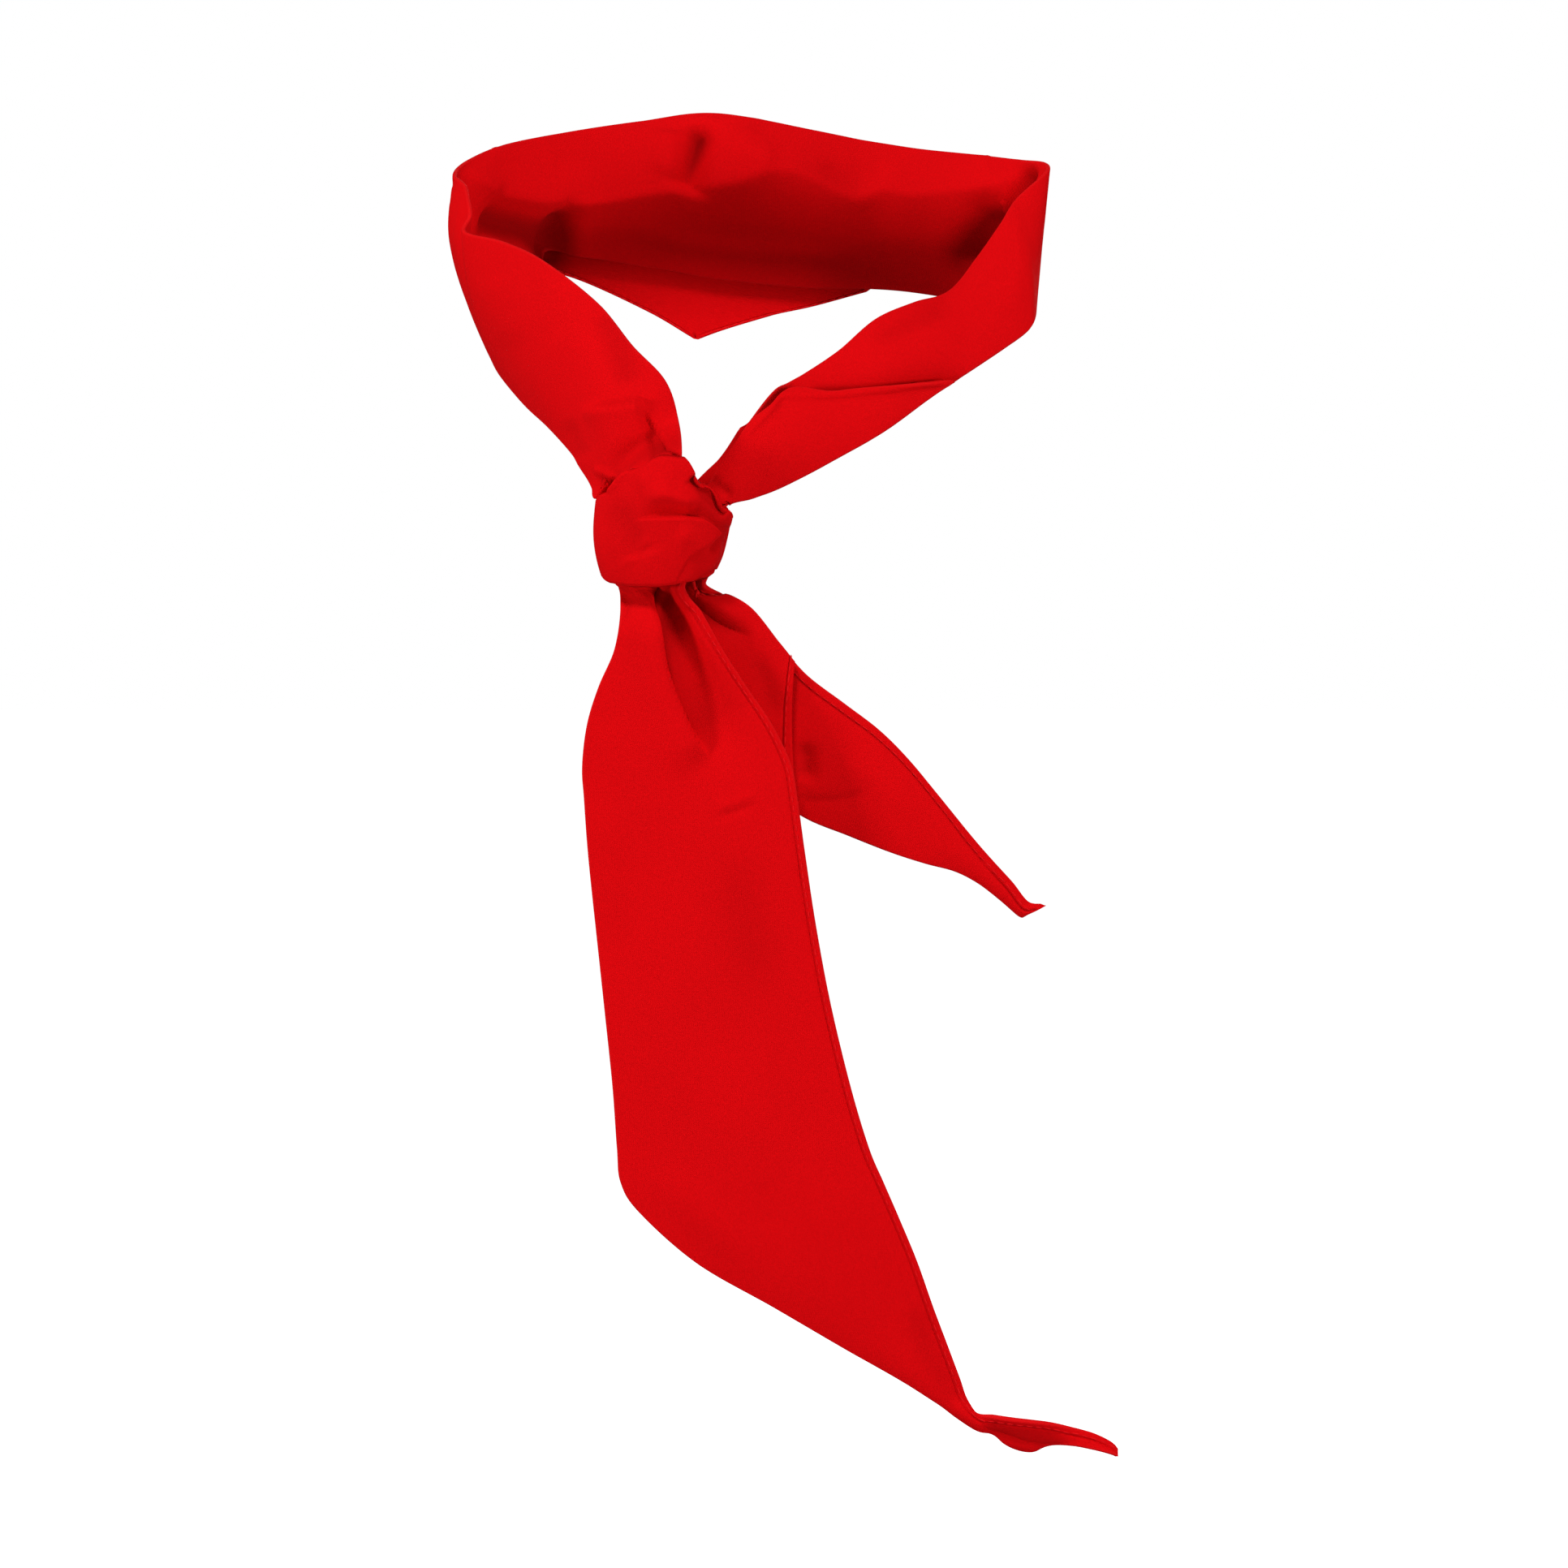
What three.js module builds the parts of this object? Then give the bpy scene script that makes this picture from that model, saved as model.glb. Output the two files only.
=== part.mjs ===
// A plain neckerchief: a triangular cloth folded to a band, laid round the neck and
// tied at the front in a four-in-hand style knot with one long and one short tail.
//
// Millimetres, Z up. The front, with the knot and the tails, faces -Y, and +X is on
// the right of someone who looks at the front. The origin is on the inner face of the
// band, in the middle of the nape.

import * as THREE from "three";

// Cloth. A wall stands for the layers of thin cloth that are folded together.
const clothWall = 1.6;
const touchGap = 0.35;

// The loop round the neck, from the nape to the middle of the knot.
const loopHalfWidth = 92;
const loopDepth = 122;
const bandWidth = 62;

// The knot: its middle lies beside and below the nape, and its wrap is wound cloth.
const knotSide = -25;
const knotDrop = 91;
const knotWidth = 42;
const knotHeight = 39.5;
const knotDepth = 30;
const knotLean = 1.6;
const wrapWall = 2.4;

// The corner of the triangle that hangs below the band at the nape.
const pointDrop = 22;
const lapSlack = 0.5;

// The long front tail, down to the neck of its twisted end.
const longTailWidth = 68;
const longTailLength = 250;
const longTailForward = 5;
const pleatDepth = 9;
const twistLength = 44;
const twistWidth = 10;

// The short tail behind it, which goes down and to the right.
const shortTailSpread = 114;
const shortTailLength = 101;
const shortTailBack = 4;

const clothColour = new THREE.Color(0.72, 0.004, 0.008);
const layerStep = clothWall + touchGap;
const knotMiddle = new THREE.Vector3(knotSide, -loopDepth, -knotDrop);
const mix = THREE.MathUtils.lerp;
const ease = THREE.MathUtils.smoothstep;
const radians = THREE.MathUtils.degToRad;

// A smooth line through equally spaced values.
function smoothThrough(values, t) {
  const last = values.length - 1;
  const i = Math.min(Math.max(Math.floor(t), 0), last - 1);
  const before = values[Math.max(i - 1, 0)];
  const after = values[Math.min(i + 2, last)];
  const slopeIn = (values[i + 1] - before) / (i > 0 ? 2 : 1);
  const slopeOut = (after - values[i]) / (i + 2 <= last ? 2 : 1);
  const f = t - i;
  if (f < 0) return values[i] + slopeIn * f;
  if (f > 1) return values[i + 1] + slopeOut * (f - 1);
  const blend = f * f * (3 - 2 * f);
  return (
    mix(values[i], values[i + 1], blend) +
    slopeIn * f * (1 - f) * (1 - f) -
    slopeOut * f * f * (1 - f)
  );
}

// The row between the rows of a table, column by column.
function rowAt(table, t) {
  const row = {};
  for (const column of Object.keys(table[0])) {
    row[column] = smoothThrough(table.map((r) => r[column]), t);
  }
  return row;
}

// A column's value between the rows of a table, where another column has a value.
function tableValue(table, key, at, column) {
  for (let i = 0; i + 1 < table.length; i++) {
    const a = table[i];
    const b = table[i + 1];
    if (at <= b[key] || i + 2 === table.length) {
      const f = (at - a[key]) / (b[key] - a[key]);
      return mix(a[column], b[column], ease(f, 0, 1));
    }
  }
  return table[0][column];
}

// A section of cloth is a line from its low edge to its top edge that bows out
// between them, most at its crest. across runs from -1 at the low edge to 1.
function bowShape(across, crest) {
  const reach = across < crest ? crest + 1 : 1 - crest;
  const f = (across - crest) / reach;
  return 1 - f * f;
}

function vectorThrough(points, t) {
  return new THREE.Vector3(
    smoothThrough(points.map((p) => p.x), t),
    smoothThrough(points.map((p) => p.y), t),
    smoothThrough(points.map((p) => p.z), t),
  );
}

// A surface through sections: along counts sections, across goes from -1 to 1.
function surfaceThrough(sections) {
  const step = 0.05;
  const lows = sections.map((s) => s.low);
  const tops = sections.map((s) => s.top);
  const bows = sections.map((s) => s.bow);
  const crests = sections.map((s) => s.crest);
  const middle = (t) => vectorThrough(lows, t).add(vectorThrough(tops, t));
  return (along, across) => {
    const low = vectorThrough(lows, along);
    const top = vectorThrough(tops, along);
    const forward = middle(along + step).sub(middle(along - step));
    const out = top.clone().sub(low).cross(forward).normalize();
    const bow = smoothThrough(bows, along) * bowShape(across, smoothThrough(crests, along));
    return low.lerp(top, (across + 1) / 2).addScaledVector(out, bow);
  };
}

function normalAt(surface, along, across) {
  const step = 0.02;
  const down = surface(along + step, across).sub(surface(along - step, across));
  const over = surface(along, across + step).sub(surface(along, across - step));
  return over.cross(down).normalize();
}

// A second layer of the same cloth, so far outside a surface.
function layerOver(surface, offset) {
  return (along, across) => {
    const normal = normalAt(surface, along, across);
    return surface(along, across).addScaledVector(normal, offset);
  };
}

// A closed wall of cloth round a surface, whose point takes shares from 0 to 1.
function clothSolid(name, point, alongCount, acrossCount, wall = clothWall) {
  const step = 0.002;
  const vertices = [];
  for (const side of [1, -1]) {
    for (let i = 0; i <= alongCount; i++) {
      for (let j = 0; j <= acrossCount; j++) {
        const a = i / alongCount;
        const b = j / acrossCount;
        const along = point(a + step, b).sub(point(a - step, b));
        const over = point(a, b + step).sub(point(a, b - step));
        const normal = over.cross(along).normalize();
        const p = point(a, b).addScaledVector(normal, (side * wall) / 2);
        vertices.push(p.x, p.y, p.z);
      }
    }
  }
  const rowLength = acrossCount + 1;
  const sheet = (alongCount + 1) * rowLength;
  const index = [];
  const quad = (a, b, c, d) => index.push(a, b, c, a, c, d);
  for (let i = 0; i < alongCount; i++) {
    for (let j = 0; j < acrossCount; j++) {
      const a = i * rowLength + j;
      quad(a, a + rowLength, a + rowLength + 1, a + 1);
      quad(sheet + a + 1, sheet + a + rowLength + 1, sheet + a + rowLength, sheet + a);
    }
  }
  const rim = (a, b) => quad(a, b, sheet + b, sheet + a);
  for (let i = 0; i < alongCount; i++) {
    rim((i + 1) * rowLength, i * rowLength);
    rim(i * rowLength + acrossCount, (i + 1) * rowLength + acrossCount);
  }
  for (let j = 0; j < acrossCount; j++) {
    rim(j, j + 1);
    rim(alongCount * rowLength + j + 1, alongCount * rowLength + j);
  }
  return meshOf(name, vertices, index);
}

function meshOf(name, vertices, index) {
  const corner = (k) => new THREE.Vector3().fromArray(vertices, 3 * k);
  let volume = 0;
  for (let k = 0; k < index.length; k += 3) {
    const normal = corner(index[k + 1]).cross(corner(index[k + 2]));
    volume += corner(index[k]).dot(normal);
  }
  if (volume < 0) index.reverse();
  const geometry = new THREE.BufferGeometry();
  geometry.setAttribute("position", new THREE.Float32BufferAttribute(vertices, 3));
  geometry.setIndex(index);
  geometry.computeVertexNormals();
  const material = new THREE.MeshStandardMaterial({
    color: clothColour,
    roughness: 0.85,
    metalness: 0,
    side: THREE.DoubleSide,
  });
  const mesh = new THREE.Mesh(geometry, material);
  mesh.name = name;
  return mesh;
}

// The rims of the knot's wrap, by the turn round it from the front in degrees, as
// shares of half the knot's height above and below its middle.
const wrapRims = [
  { turn: -180, top: 0.6, bottom: -0.8 },
  { turn: -135, top: 0.3, bottom: -0.85 },
  { turn: -95, top: 0.2, bottom: -0.9 },
  { turn: -65, top: 0.34, bottom: -0.97 },
  { turn: -35, top: 0.78, bottom: -1 },
  { turn: -5, top: 1, bottom: -1 },
  { turn: 15, top: 0.97, bottom: -0.97 },
  { turn: 35, top: 0.58, bottom: -0.93 },
  { turn: 65, top: 0.2, bottom: -0.9 },
  { turn: 95, top: 0.06, bottom: -0.85 },
  { turn: 135, top: 0.3, bottom: -0.8 },
  { turn: 180, top: 0.6, bottom: -0.8 },
];
const rimHeight = (turn, rim) =>
  knotMiddle.z + (tableValue(wrapRims, "turn", turn, rim) * knotHeight) / 2;

// The bundle of cloth inside the wrap is an oval tube that narrows to its ends.
const bundleHalfWidth = knotWidth / 2 - wrapWall - touchGap - clothWall / 2;
const bundleHalfDepth = knotDepth / 2 - wrapWall - touchGap - clothWall / 2;
const narrowBelow = 0.28;
const narrowAbove = 0.12;

function bundlePoint(turn, height, outside = 0) {
  const rise = THREE.MathUtils.clamp((2 * (height - knotMiddle.z)) / knotHeight, -1, 1);
  const size = 1 - (rise < 0 ? narrowBelow : narrowAbove) * rise * rise;
  const angle = radians(turn);
  return new THREE.Vector3(
    knotMiddle.x + knotLean * rise + (bundleHalfWidth * size + outside) * Math.sin(angle),
    knotMiddle.y - (bundleHalfDepth * size + outside) * Math.cos(angle),
    height,
  );
}

// A surface that lies on the bundle between the knot's middle and a rim, and then
// eases into its free form. Section 1 is at the rim and section 2 is free.
const leavingRise = 0.12 * knotHeight;

function leavingKnot(free, turns, rim) {
  const away = rim === "top" ? 1 : -1;
  return (along, across) => {
    const turn = mix(turns.low, turns.top, (across + 1) / 2);
    const start = knotMiddle.z + (away * touchGap) / 2;
    const mouth = rimHeight(turn, rim) + away * touchGap;
    const inside = THREE.MathUtils.clamp(along, 0, 1);
    const beyond = away * leavingRise * Math.max(along - 1, 0);
    const point = bundlePoint(turn, mix(start, mouth, inside) + beyond);
    return along <= 1 ? point : point.lerp(free(along, across), ease(along, 1, 2));
  };
}

// Where a piece of cloth lies in the bundle, as turns in degrees at its two edges.
const leftStrapTurns = { low: -125, top: 15 };
const rightStrapTurns = { low: 94, top: 152 };
const longTailTurns = { low: -112, top: 38 };
const shortTailTurns = { low: 168, top: 88 };

// The sections at the middle of the knot and at its rim, which the free form needs
// only to start in the right direction.
function knotSections(turns, rim, bow) {
  return [0, 1].map((step) => {
    const edge = (turn) => bundlePoint(turn, mix(knotMiddle.z, rimHeight(turn, rim), step));
    return { low: edge(turns.low), top: edge(turns.top), bow, crest: 0 };
  });
}

// One side of the band from the knot to the corner of the loop. toward and drop are
// shares of the way from the corner to the knot, forward of the loop's depth, and the
// others of the band's width: half the section's reach in X, Y and Z, and its bow.
const leftStrap = [
  { toward: 0.88, forward: 0.97, drop: 0.81, x: 0.19, y: 0.0, z: 0.19, bow: 0.09 },
  { toward: 0.84, forward: 0.94, drop: 0.73, x: 0.18, y: -0.01, z: 0.26, bow: 0.09 },
  { toward: 0.75, forward: 0.9, drop: 0.65, x: 0.12, y: -0.02, z: 0.31, bow: 0.09 },
  { toward: 0.64, forward: 0.84, drop: 0.55, x: 0.07, y: -0.02, z: 0.36, bow: 0.09 },
  { toward: 0.47, forward: 0.77, drop: 0.45, x: -0.01, y: -0.02, z: 0.41, bow: 0.1 },
  { toward: 0.32, forward: 0.68, drop: 0.38, x: -0.05, y: -0.03, z: 0.4, bow: 0.1 },
  { toward: 0.17, forward: 0.57, drop: 0.31, x: -0.09, y: -0.03, z: 0.37, bow: 0.09 },
];
const rightStrap = [
  { toward: 0.07, forward: 0.57, drop: 0.17, x: -0.04, y: 0.14, z: 0.29, bow: 0.07 },
  { toward: 0.1, forward: 0.62, drop: 0.23, x: -0.06, y: 0.15, z: 0.26, bow: 0.06 },
  { toward: 0.16, forward: 0.67, drop: 0.31, x: -0.06, y: 0.15, z: 0.22, bow: 0.06 },
  { toward: 0.24, forward: 0.73, drop: 0.4, x: -0.05, y: 0.13, z: 0.19, bow: 0.06 },
  { toward: 0.35, forward: 0.79, drop: 0.47, x: -0.02, y: 0.12, z: 0.24, bow: 0.06 },
  { toward: 0.46, forward: 0.84, drop: 0.55, x: 0.0, y: 0.11, z: 0.28, bow: 0.06 },
  { toward: 0.58, forward: 0.88, drop: 0.65, x: 0.05, y: 0.09, z: 0.28, bow: 0.06 },
  { toward: 0.68, forward: 0.91, drop: 0.72, x: 0.06, y: 0.07, z: 0.27, bow: 0.06 },
  { toward: 0.75, forward: 0.93, drop: 0.765, x: 0.05, y: 0.06, z: 0.27, bow: 0.05 },
  { toward: 0.81, forward: 0.95, drop: 0.825, x: 0.01, y: 0.05, z: 0.19, bow: 0.04 },
  { toward: 0.85, forward: 0.96, drop: 0.89, x: -0.02, y: 0.04, z: 0.11, bow: 0.03 },
];

// The band across the nape. side is a share of the loop's half width, rise of the
// band's width. The middle bows in to the neck and both edges lean away from it.
const nape = [
  { side: -0.92, forward: 0.43, rise: -0.24, x: -0.07, y: -0.04, z: 0.4, bow: 0.07 },
  { side: -0.88, forward: 0.29, rise: -0.15, x: -0.08, y: -0.02, z: 0.39, bow: 0.02 },
  { side: -0.79, forward: 0.16, rise: -0.07, x: -0.06, y: -0.04, z: 0.37, bow: -0.04 },
  { side: -0.62, forward: 0.03, rise: 0.04, x: 0.01, y: -0.01, z: 0.32, bow: -0.09 },
  { side: -0.36, forward: -0.05, rise: 0.04, x: -0.02, y: -0.02, z: 0.37, bow: -0.12 },
  { side: -0.12, forward: -0.075, rise: 0.03, x: 0.0, y: -0.02, z: 0.42, bow: -0.13 },
  { side: 0.21, forward: -0.07, rise: -0.04, x: 0.0, y: -0.02, z: 0.4, bow: -0.13 },
  { side: 0.51, forward: -0.02, rise: -0.09, x: 0.0, y: -0.02, z: 0.37, bow: -0.12 },
  { side: 0.76, forward: 0.11, rise: -0.13, x: 0.0, y: 0.0, z: 0.37, bow: -0.09 },
  { side: 0.91, forward: 0.27, rise: -0.14, x: 0.0, y: 0.03, z: 0.37, bow: -0.03 },
  { side: 0.97, forward: 0.45, rise: -0.15, x: 0.04, y: 0.07, z: 0.35, bow: 0.04 },
];
const napeCrest = 0.2;
const leftKnotBow = 0.1;
const rightKnotBow = 0.04;

function sectionAround(centre, row, crest) {
  const half = new THREE.Vector3(row.x, row.y, row.z).multiplyScalar(bandWidth);
  return {
    low: centre.clone().sub(half),
    top: centre.clone().add(half),
    bow: row.bow * bandWidth,
    crest,
  };
}

function strapSection(row, cornerSide) {
  const centre = new THREE.Vector3(
    mix(cornerSide * loopHalfWidth, knotMiddle.x, row.toward),
    -row.forward * loopDepth,
    -row.drop * knotDrop,
  );
  return sectionAround(centre, row, 0);
}

function napeSection(row) {
  const centre = new THREE.Vector3(
    row.side * loopHalfWidth,
    -row.forward * loopDepth,
    row.rise * bandWidth,
  );
  return sectionAround(centre, row, napeCrest);
}

const loopSections = [
  ...knotSections(leftStrapTurns, "top", leftKnotBow * bandWidth),
  ...leftStrap.map((row) => strapSection(row, -1)),
  ...nape.map(napeSection),
  ...rightStrap.map((row) => strapSection(row, 1)),
  ...knotSections(rightStrapTurns, "top", rightKnotBow * bandWidth).reverse(),
];
const loopEnd = loopSections.length - 1;
const leftCorner = 2 + leftStrap.length;
const rightCorner = leftCorner + nape.length - 1;
const loopFree = surfaceThrough(loopSections);
const leftKnotSide = leavingKnot(loopFree, leftStrapTurns, "top");
const rightKnotSide = leavingKnot(
  (along, across) => loopFree(loopEnd - along, across),
  rightStrapTurns,
  "top",
);

// The whole band from inside the knot, round the neck and back into it.
function loopSurface(along, across) {
  if (along < 2) return leftKnotSide(along, across);
  if (along > loopEnd - 2) return rightKnotSide(loopEnd - along, across);
  return loopFree(along, across);
}

// How far along a surface half a gap reaches where it is cut in two.
function halfCut(surface, along) {
  const step = 0.05;
  const samples = 8;
  let least = Infinity;
  for (let k = 0; k <= samples; k++) {
    const across = mix(-1, 1, k / samples);
    const forward = surface(along + step, across).sub(surface(along - step, across));
    const over = surface(along, across + step).sub(surface(along, across - step));
    least = Math.min(least, forward.cross(over.normalize()).length() / (2 * step));
  }
  return touchGap / 2 / least;
}
const leftCut = halfCut(loopSurface, leftCorner);
const rightCut = halfCut(loopSurface, rightCorner);

function stripOf(surface, from, to, low = () => -1, top = () => 1) {
  return (i, j) => {
    const along = mix(from, to, i);
    return surface(along, mix(low(along), top(along), j));
  };
}

// The front layer of the right strap. at is a share of the strap from the corner to
// the knot, and reach a share of its width, up from its low edge.
const rightFoldReach = [
  { at: 0.36, reach: 0.08 },
  { at: 0.46, reach: 0.34 },
  { at: 0.6, reach: 0.62 },
  { at: 0.72, reach: 0.8 },
  { at: 0.84, reach: 0.84 },
  { at: 1, reach: 0.86 },
];

function foldTop(along) {
  const at = (along - rightCorner) / (loopEnd - rightCorner);
  return mix(-1, 1, tableValue(rightFoldReach, "at", at, "reach"));
}
const rightFoldStart = mix(rightCorner, loopEnd, rightFoldReach[0].at);
const rightFoldLow = -0.9;
const rightFoldLayer = layerOver(loopSurface, layerStep + lapSlack);

// The long tail. down is a share of its length from the knot's lower rim, out of its
// width from the middle of the knot, for its left and its right edge, and pleat of the
// pleat's depth.
const longTail = [
  { leftOut: -0.21, leftDown: 0.06, rightOut: 0.2, rightDown: 0.06, pleat: 0.9 },
  { leftOut: -0.27, leftDown: 0.115, rightOut: 0.37, rightDown: 0.12, pleat: 0.6 },
  { leftOut: -0.35, leftDown: 0.18, rightOut: 0.5, rightDown: 0.185, pleat: 0.25 },
  { leftOut: -0.36, leftDown: 0.24, rightOut: 0.57, rightDown: 0.24, pleat: 0.08 },
  { leftOut: -0.33, leftDown: 0.32, rightOut: 0.61, rightDown: 0.31, pleat: 0 },
  { leftOut: -0.29, leftDown: 0.42, rightOut: 0.67, rightDown: 0.42, pleat: 0 },
  { leftOut: -0.25, leftDown: 0.54, rightOut: 0.76, rightDown: 0.54, pleat: 0 },
  { leftOut: -0.22, leftDown: 0.64, rightOut: 0.86, rightDown: 0.64, pleat: 0 },
  { leftOut: -0.195, leftDown: 0.71, rightOut: 0.94, rightDown: 0.7, pleat: 0 },
  { leftOut: -0.11, leftDown: 0.76, rightOut: 1.02, rightDown: 0.76, pleat: 0 },
  { leftOut: 0.14, leftDown: 0.815, rightOut: 1.11, rightDown: 0.815, pleat: 0 },
  { leftOut: 0.48, leftDown: 0.87, rightOut: 1.2, rightDown: 0.875, pleat: 0 },
  { leftOut: 0.9, leftDown: 0.935, rightOut: 1.28, rightDown: 0.94, pleat: 0 },
  { leftOut: 1.34, leftDown: 1.012, rightOut: 1.36, rightDown: 0.994, pleat: 0 },
];
// Its twisted end. along is a share of the end's length, low and top are shares of its
// width below the neck, and turn is how far the strip is turned over, of its width.
const twistedEnd = [
  { along: 0.27, low: 0.98, top: 0.2, turn: 0.25 },
  { along: 0.48, low: 1.22, top: 0.28, turn: 0.3 },
  { along: 0.7, low: 1.02, top: 0.48, turn: 0.1 },
  { along: 0.87, low: 1.15, top: 0.72, turn: -0.1 },
  { along: 1, low: 1.3, top: 1.05, turn: -0.15 },
];
const lowerRim = knotMiddle.z - knotHeight / 2;
const neckOut = longTail[longTail.length - 1].rightOut;

function longTailPoint(out, down) {
  return new THREE.Vector3(
    knotMiddle.x + out * longTailWidth,
    knotMiddle.y - longTailForward,
    lowerRim - down * longTailLength,
  );
}

function twistPoint(along, below, turn) {
  const point = longTailPoint(neckOut, 1);
  point.x += along * twistLength;
  point.y += turn * twistWidth;
  point.z -= below * twistWidth;
  return point;
}

const tailBow = -1.5;
const longTailSections = [
  ...knotSections(longTailTurns, "bottom", tailBow),
  ...longTail.map((row) => ({
    low: longTailPoint(row.leftOut, row.leftDown),
    top: longTailPoint(row.rightOut, row.rightDown),
    bow: tailBow,
    crest: 0,
    pleat: row.pleat,
  })),
  ...twistedEnd.map((row) => ({
    low: twistPoint(row.along, row.low, row.turn),
    top: twistPoint(row.along, row.top, -row.turn),
    bow: 0,
    crest: 0,
    pleat: 0,
  })),
];
const longTailPleats = longTailSections.map((s) => s.pleat ?? 1);
const longTailFree = surfaceThrough(longTailSections);
const longTailHanging = leavingKnot(longTailFree, longTailTurns, "bottom");
// The pleat under the knot: the cloth dips back beside a lip that stands forward.
const pleatAcross = 0.12;
const pleatHalfWidth = 0.24;

function longTailSurface(along, across) {
  const point = along < 2 ? longTailHanging(along, across) : longTailFree(along, across);
  const depth = pleatDepth * smoothThrough(longTailPleats, Math.max(along, 0));
  const offset = (across - pleatAcross) / pleatHalfWidth;
  point.y += depth * Math.exp(-offset * offset);
  return point;
}

// The short tail. spread and length shares of its upper and its lower edge, from the
// middle of the knot and from its lower rim.
const shortTail = [
  { upOut: 0.16, upDown: 0.03, lowOut: 0.05, lowDown: 0.1, back: 1 },
  { upOut: 0.25, upDown: 0.09, lowOut: 0.08, lowDown: 0.25, back: 1.1 },
  { upOut: 0.31, upDown: 0.18, lowOut: 0.16, lowDown: 0.43, back: 1.2 },
  { upOut: 0.38, upDown: 0.27, lowOut: 0.25, lowDown: 0.58, back: 1.3 },
  { upOut: 0.47, upDown: 0.35, lowOut: 0.36, lowDown: 0.69, back: 1.4 },
  { upOut: 0.56, upDown: 0.43, lowOut: 0.47, lowDown: 0.75, back: 1.6 },
  { upOut: 0.63, upDown: 0.51, lowOut: 0.59, lowDown: 0.8, back: 1.8 },
  { upOut: 0.71, upDown: 0.62, lowOut: 0.68, lowDown: 0.84, back: 2 },
  { upOut: 0.8, upDown: 0.76, lowOut: 0.76, lowDown: 0.865, back: 2.2 },
  { upOut: 0.86, upDown: 0.83, lowOut: 0.83, lowDown: 0.9, back: 2.3 },
  { upOut: 0.91, upDown: 0.89, lowOut: 0.88, lowDown: 0.95, back: 2.4 },
  { upOut: 0.965, upDown: 0.96, lowOut: 0.94, lowDown: 1, back: 2.5 },
  { upOut: 1, upDown: 0.97, lowOut: 0.99, lowDown: 0.985, back: 2.5 },
];

function shortTailPoint(out, down, back) {
  return new THREE.Vector3(
    knotMiddle.x + out * shortTailSpread,
    knotMiddle.y + back * shortTailBack,
    lowerRim - down * shortTailLength,
  );
}

const shortTailSections = [
  ...knotSections(shortTailTurns, "bottom", tailBow),
  ...shortTail.map((row) => ({
    low: shortTailPoint(row.lowOut, row.lowDown, row.back),
    top: shortTailPoint(row.upOut, row.upDown, row.back),
    bow: tailBow,
    crest: 0,
  })),
];
const shortTailFree = surfaceThrough(shortTailSections);
const shortTailHanging = leavingKnot(shortTailFree, shortTailTurns, "bottom");

function shortTailSurface(along, across) {
  return along < 2 ? shortTailHanging(along, across) : shortTailFree(along, across);
}
// Its front layer ends at a free hem, so many sections down at its low and top edge.
const shortFoldEnd = { low: 5.4, top: 4.4 };

function shortFoldPoint(i, j) {
  const end = mix(shortFoldEnd.low, shortFoldEnd.top, j);
  return layerOver(shortTailSurface, -layerStep - lapSlack)(i * end, mix(-1, 1, j));
}

// The corner of the triangle lies over the outside of the band at the nape and hangs
// below it. across is -1 at the band's low edge, as on the band, and on past that it
// counts the corner's own drop. left and right are shares of the nape.
const cornerLap = [
  { down: 1, left: 0.465, right: 0.475 },
  { down: 0.8, left: 0.42, right: 0.51 },
  { down: 0.4, left: 0.34, right: 0.59 },
  { down: 0, left: 0.26, right: 0.67 },
  { down: -0.5, left: 0.17, right: 0.77 },
  { down: -1, left: 0.1, right: 0.86 },
];
const lapTop = 0.86;
const cornerPlumb = -0.12;

function hangingNape(along, across) {
  if (across >= -1) return loopSurface(along, across);
  const point = loopSurface(along, -1);
  point.z += (across + 1) * pointDrop;
  point.y += cornerPlumb * (across + 1) * pointDrop;
  return point;
}
const cornerSurface = layerOver(hangingNape, layerStep + lapSlack);

function cornerPoint(i, j) {
  const row = rowAt(cornerLap, i * (cornerLap.length - 1));
  const share = mix(row.left, row.right, j);
  const across = row.down > 0 ? -1 - row.down : mix(-1, lapTop, -row.down);
  return cornerSurface(mix(leftCorner, rightCorner, share), across);
}

// The creases of the wrap run over its front and meet at its right side. Turns are in
// degrees, rises are shares of half the knot's height, and lifts of the wrap's wall.
const wrapCreases = [
  { fromTurn: -60, fromRise: 0.35, toTurn: 75, toRise: -0.1, lift: 0.4, width: 0.16 },
  { fromTurn: -20, fromRise: 0.05, toTurn: 85, toRise: -0.05, lift: -0.45, width: 0.1 },
  { fromTurn: 15, fromRise: 0.75, toTurn: 80, toRise: 0.05, lift: -0.45, width: 0.12 },
  { fromTurn: -70, fromRise: -0.45, toTurn: 60, toRise: -0.5, lift: 0.35, width: 0.25 },
];

function creaseLift(turn, rise) {
  const fadeShare = 0.15;
  let lift = 0;
  for (const crease of wrapCreases) {
    const f = (turn - crease.fromTurn) / (crease.toTurn - crease.fromTurn);
    const fade = ease(f, -fadeShare, fadeShare) * ease(1 - f, -fadeShare, fadeShare);
    const offset = (rise - mix(crease.fromRise, crease.toRise, f)) / crease.width;
    lift += crease.lift * fade * Math.exp(-offset * offset);
  }
  return lift;
}

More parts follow.
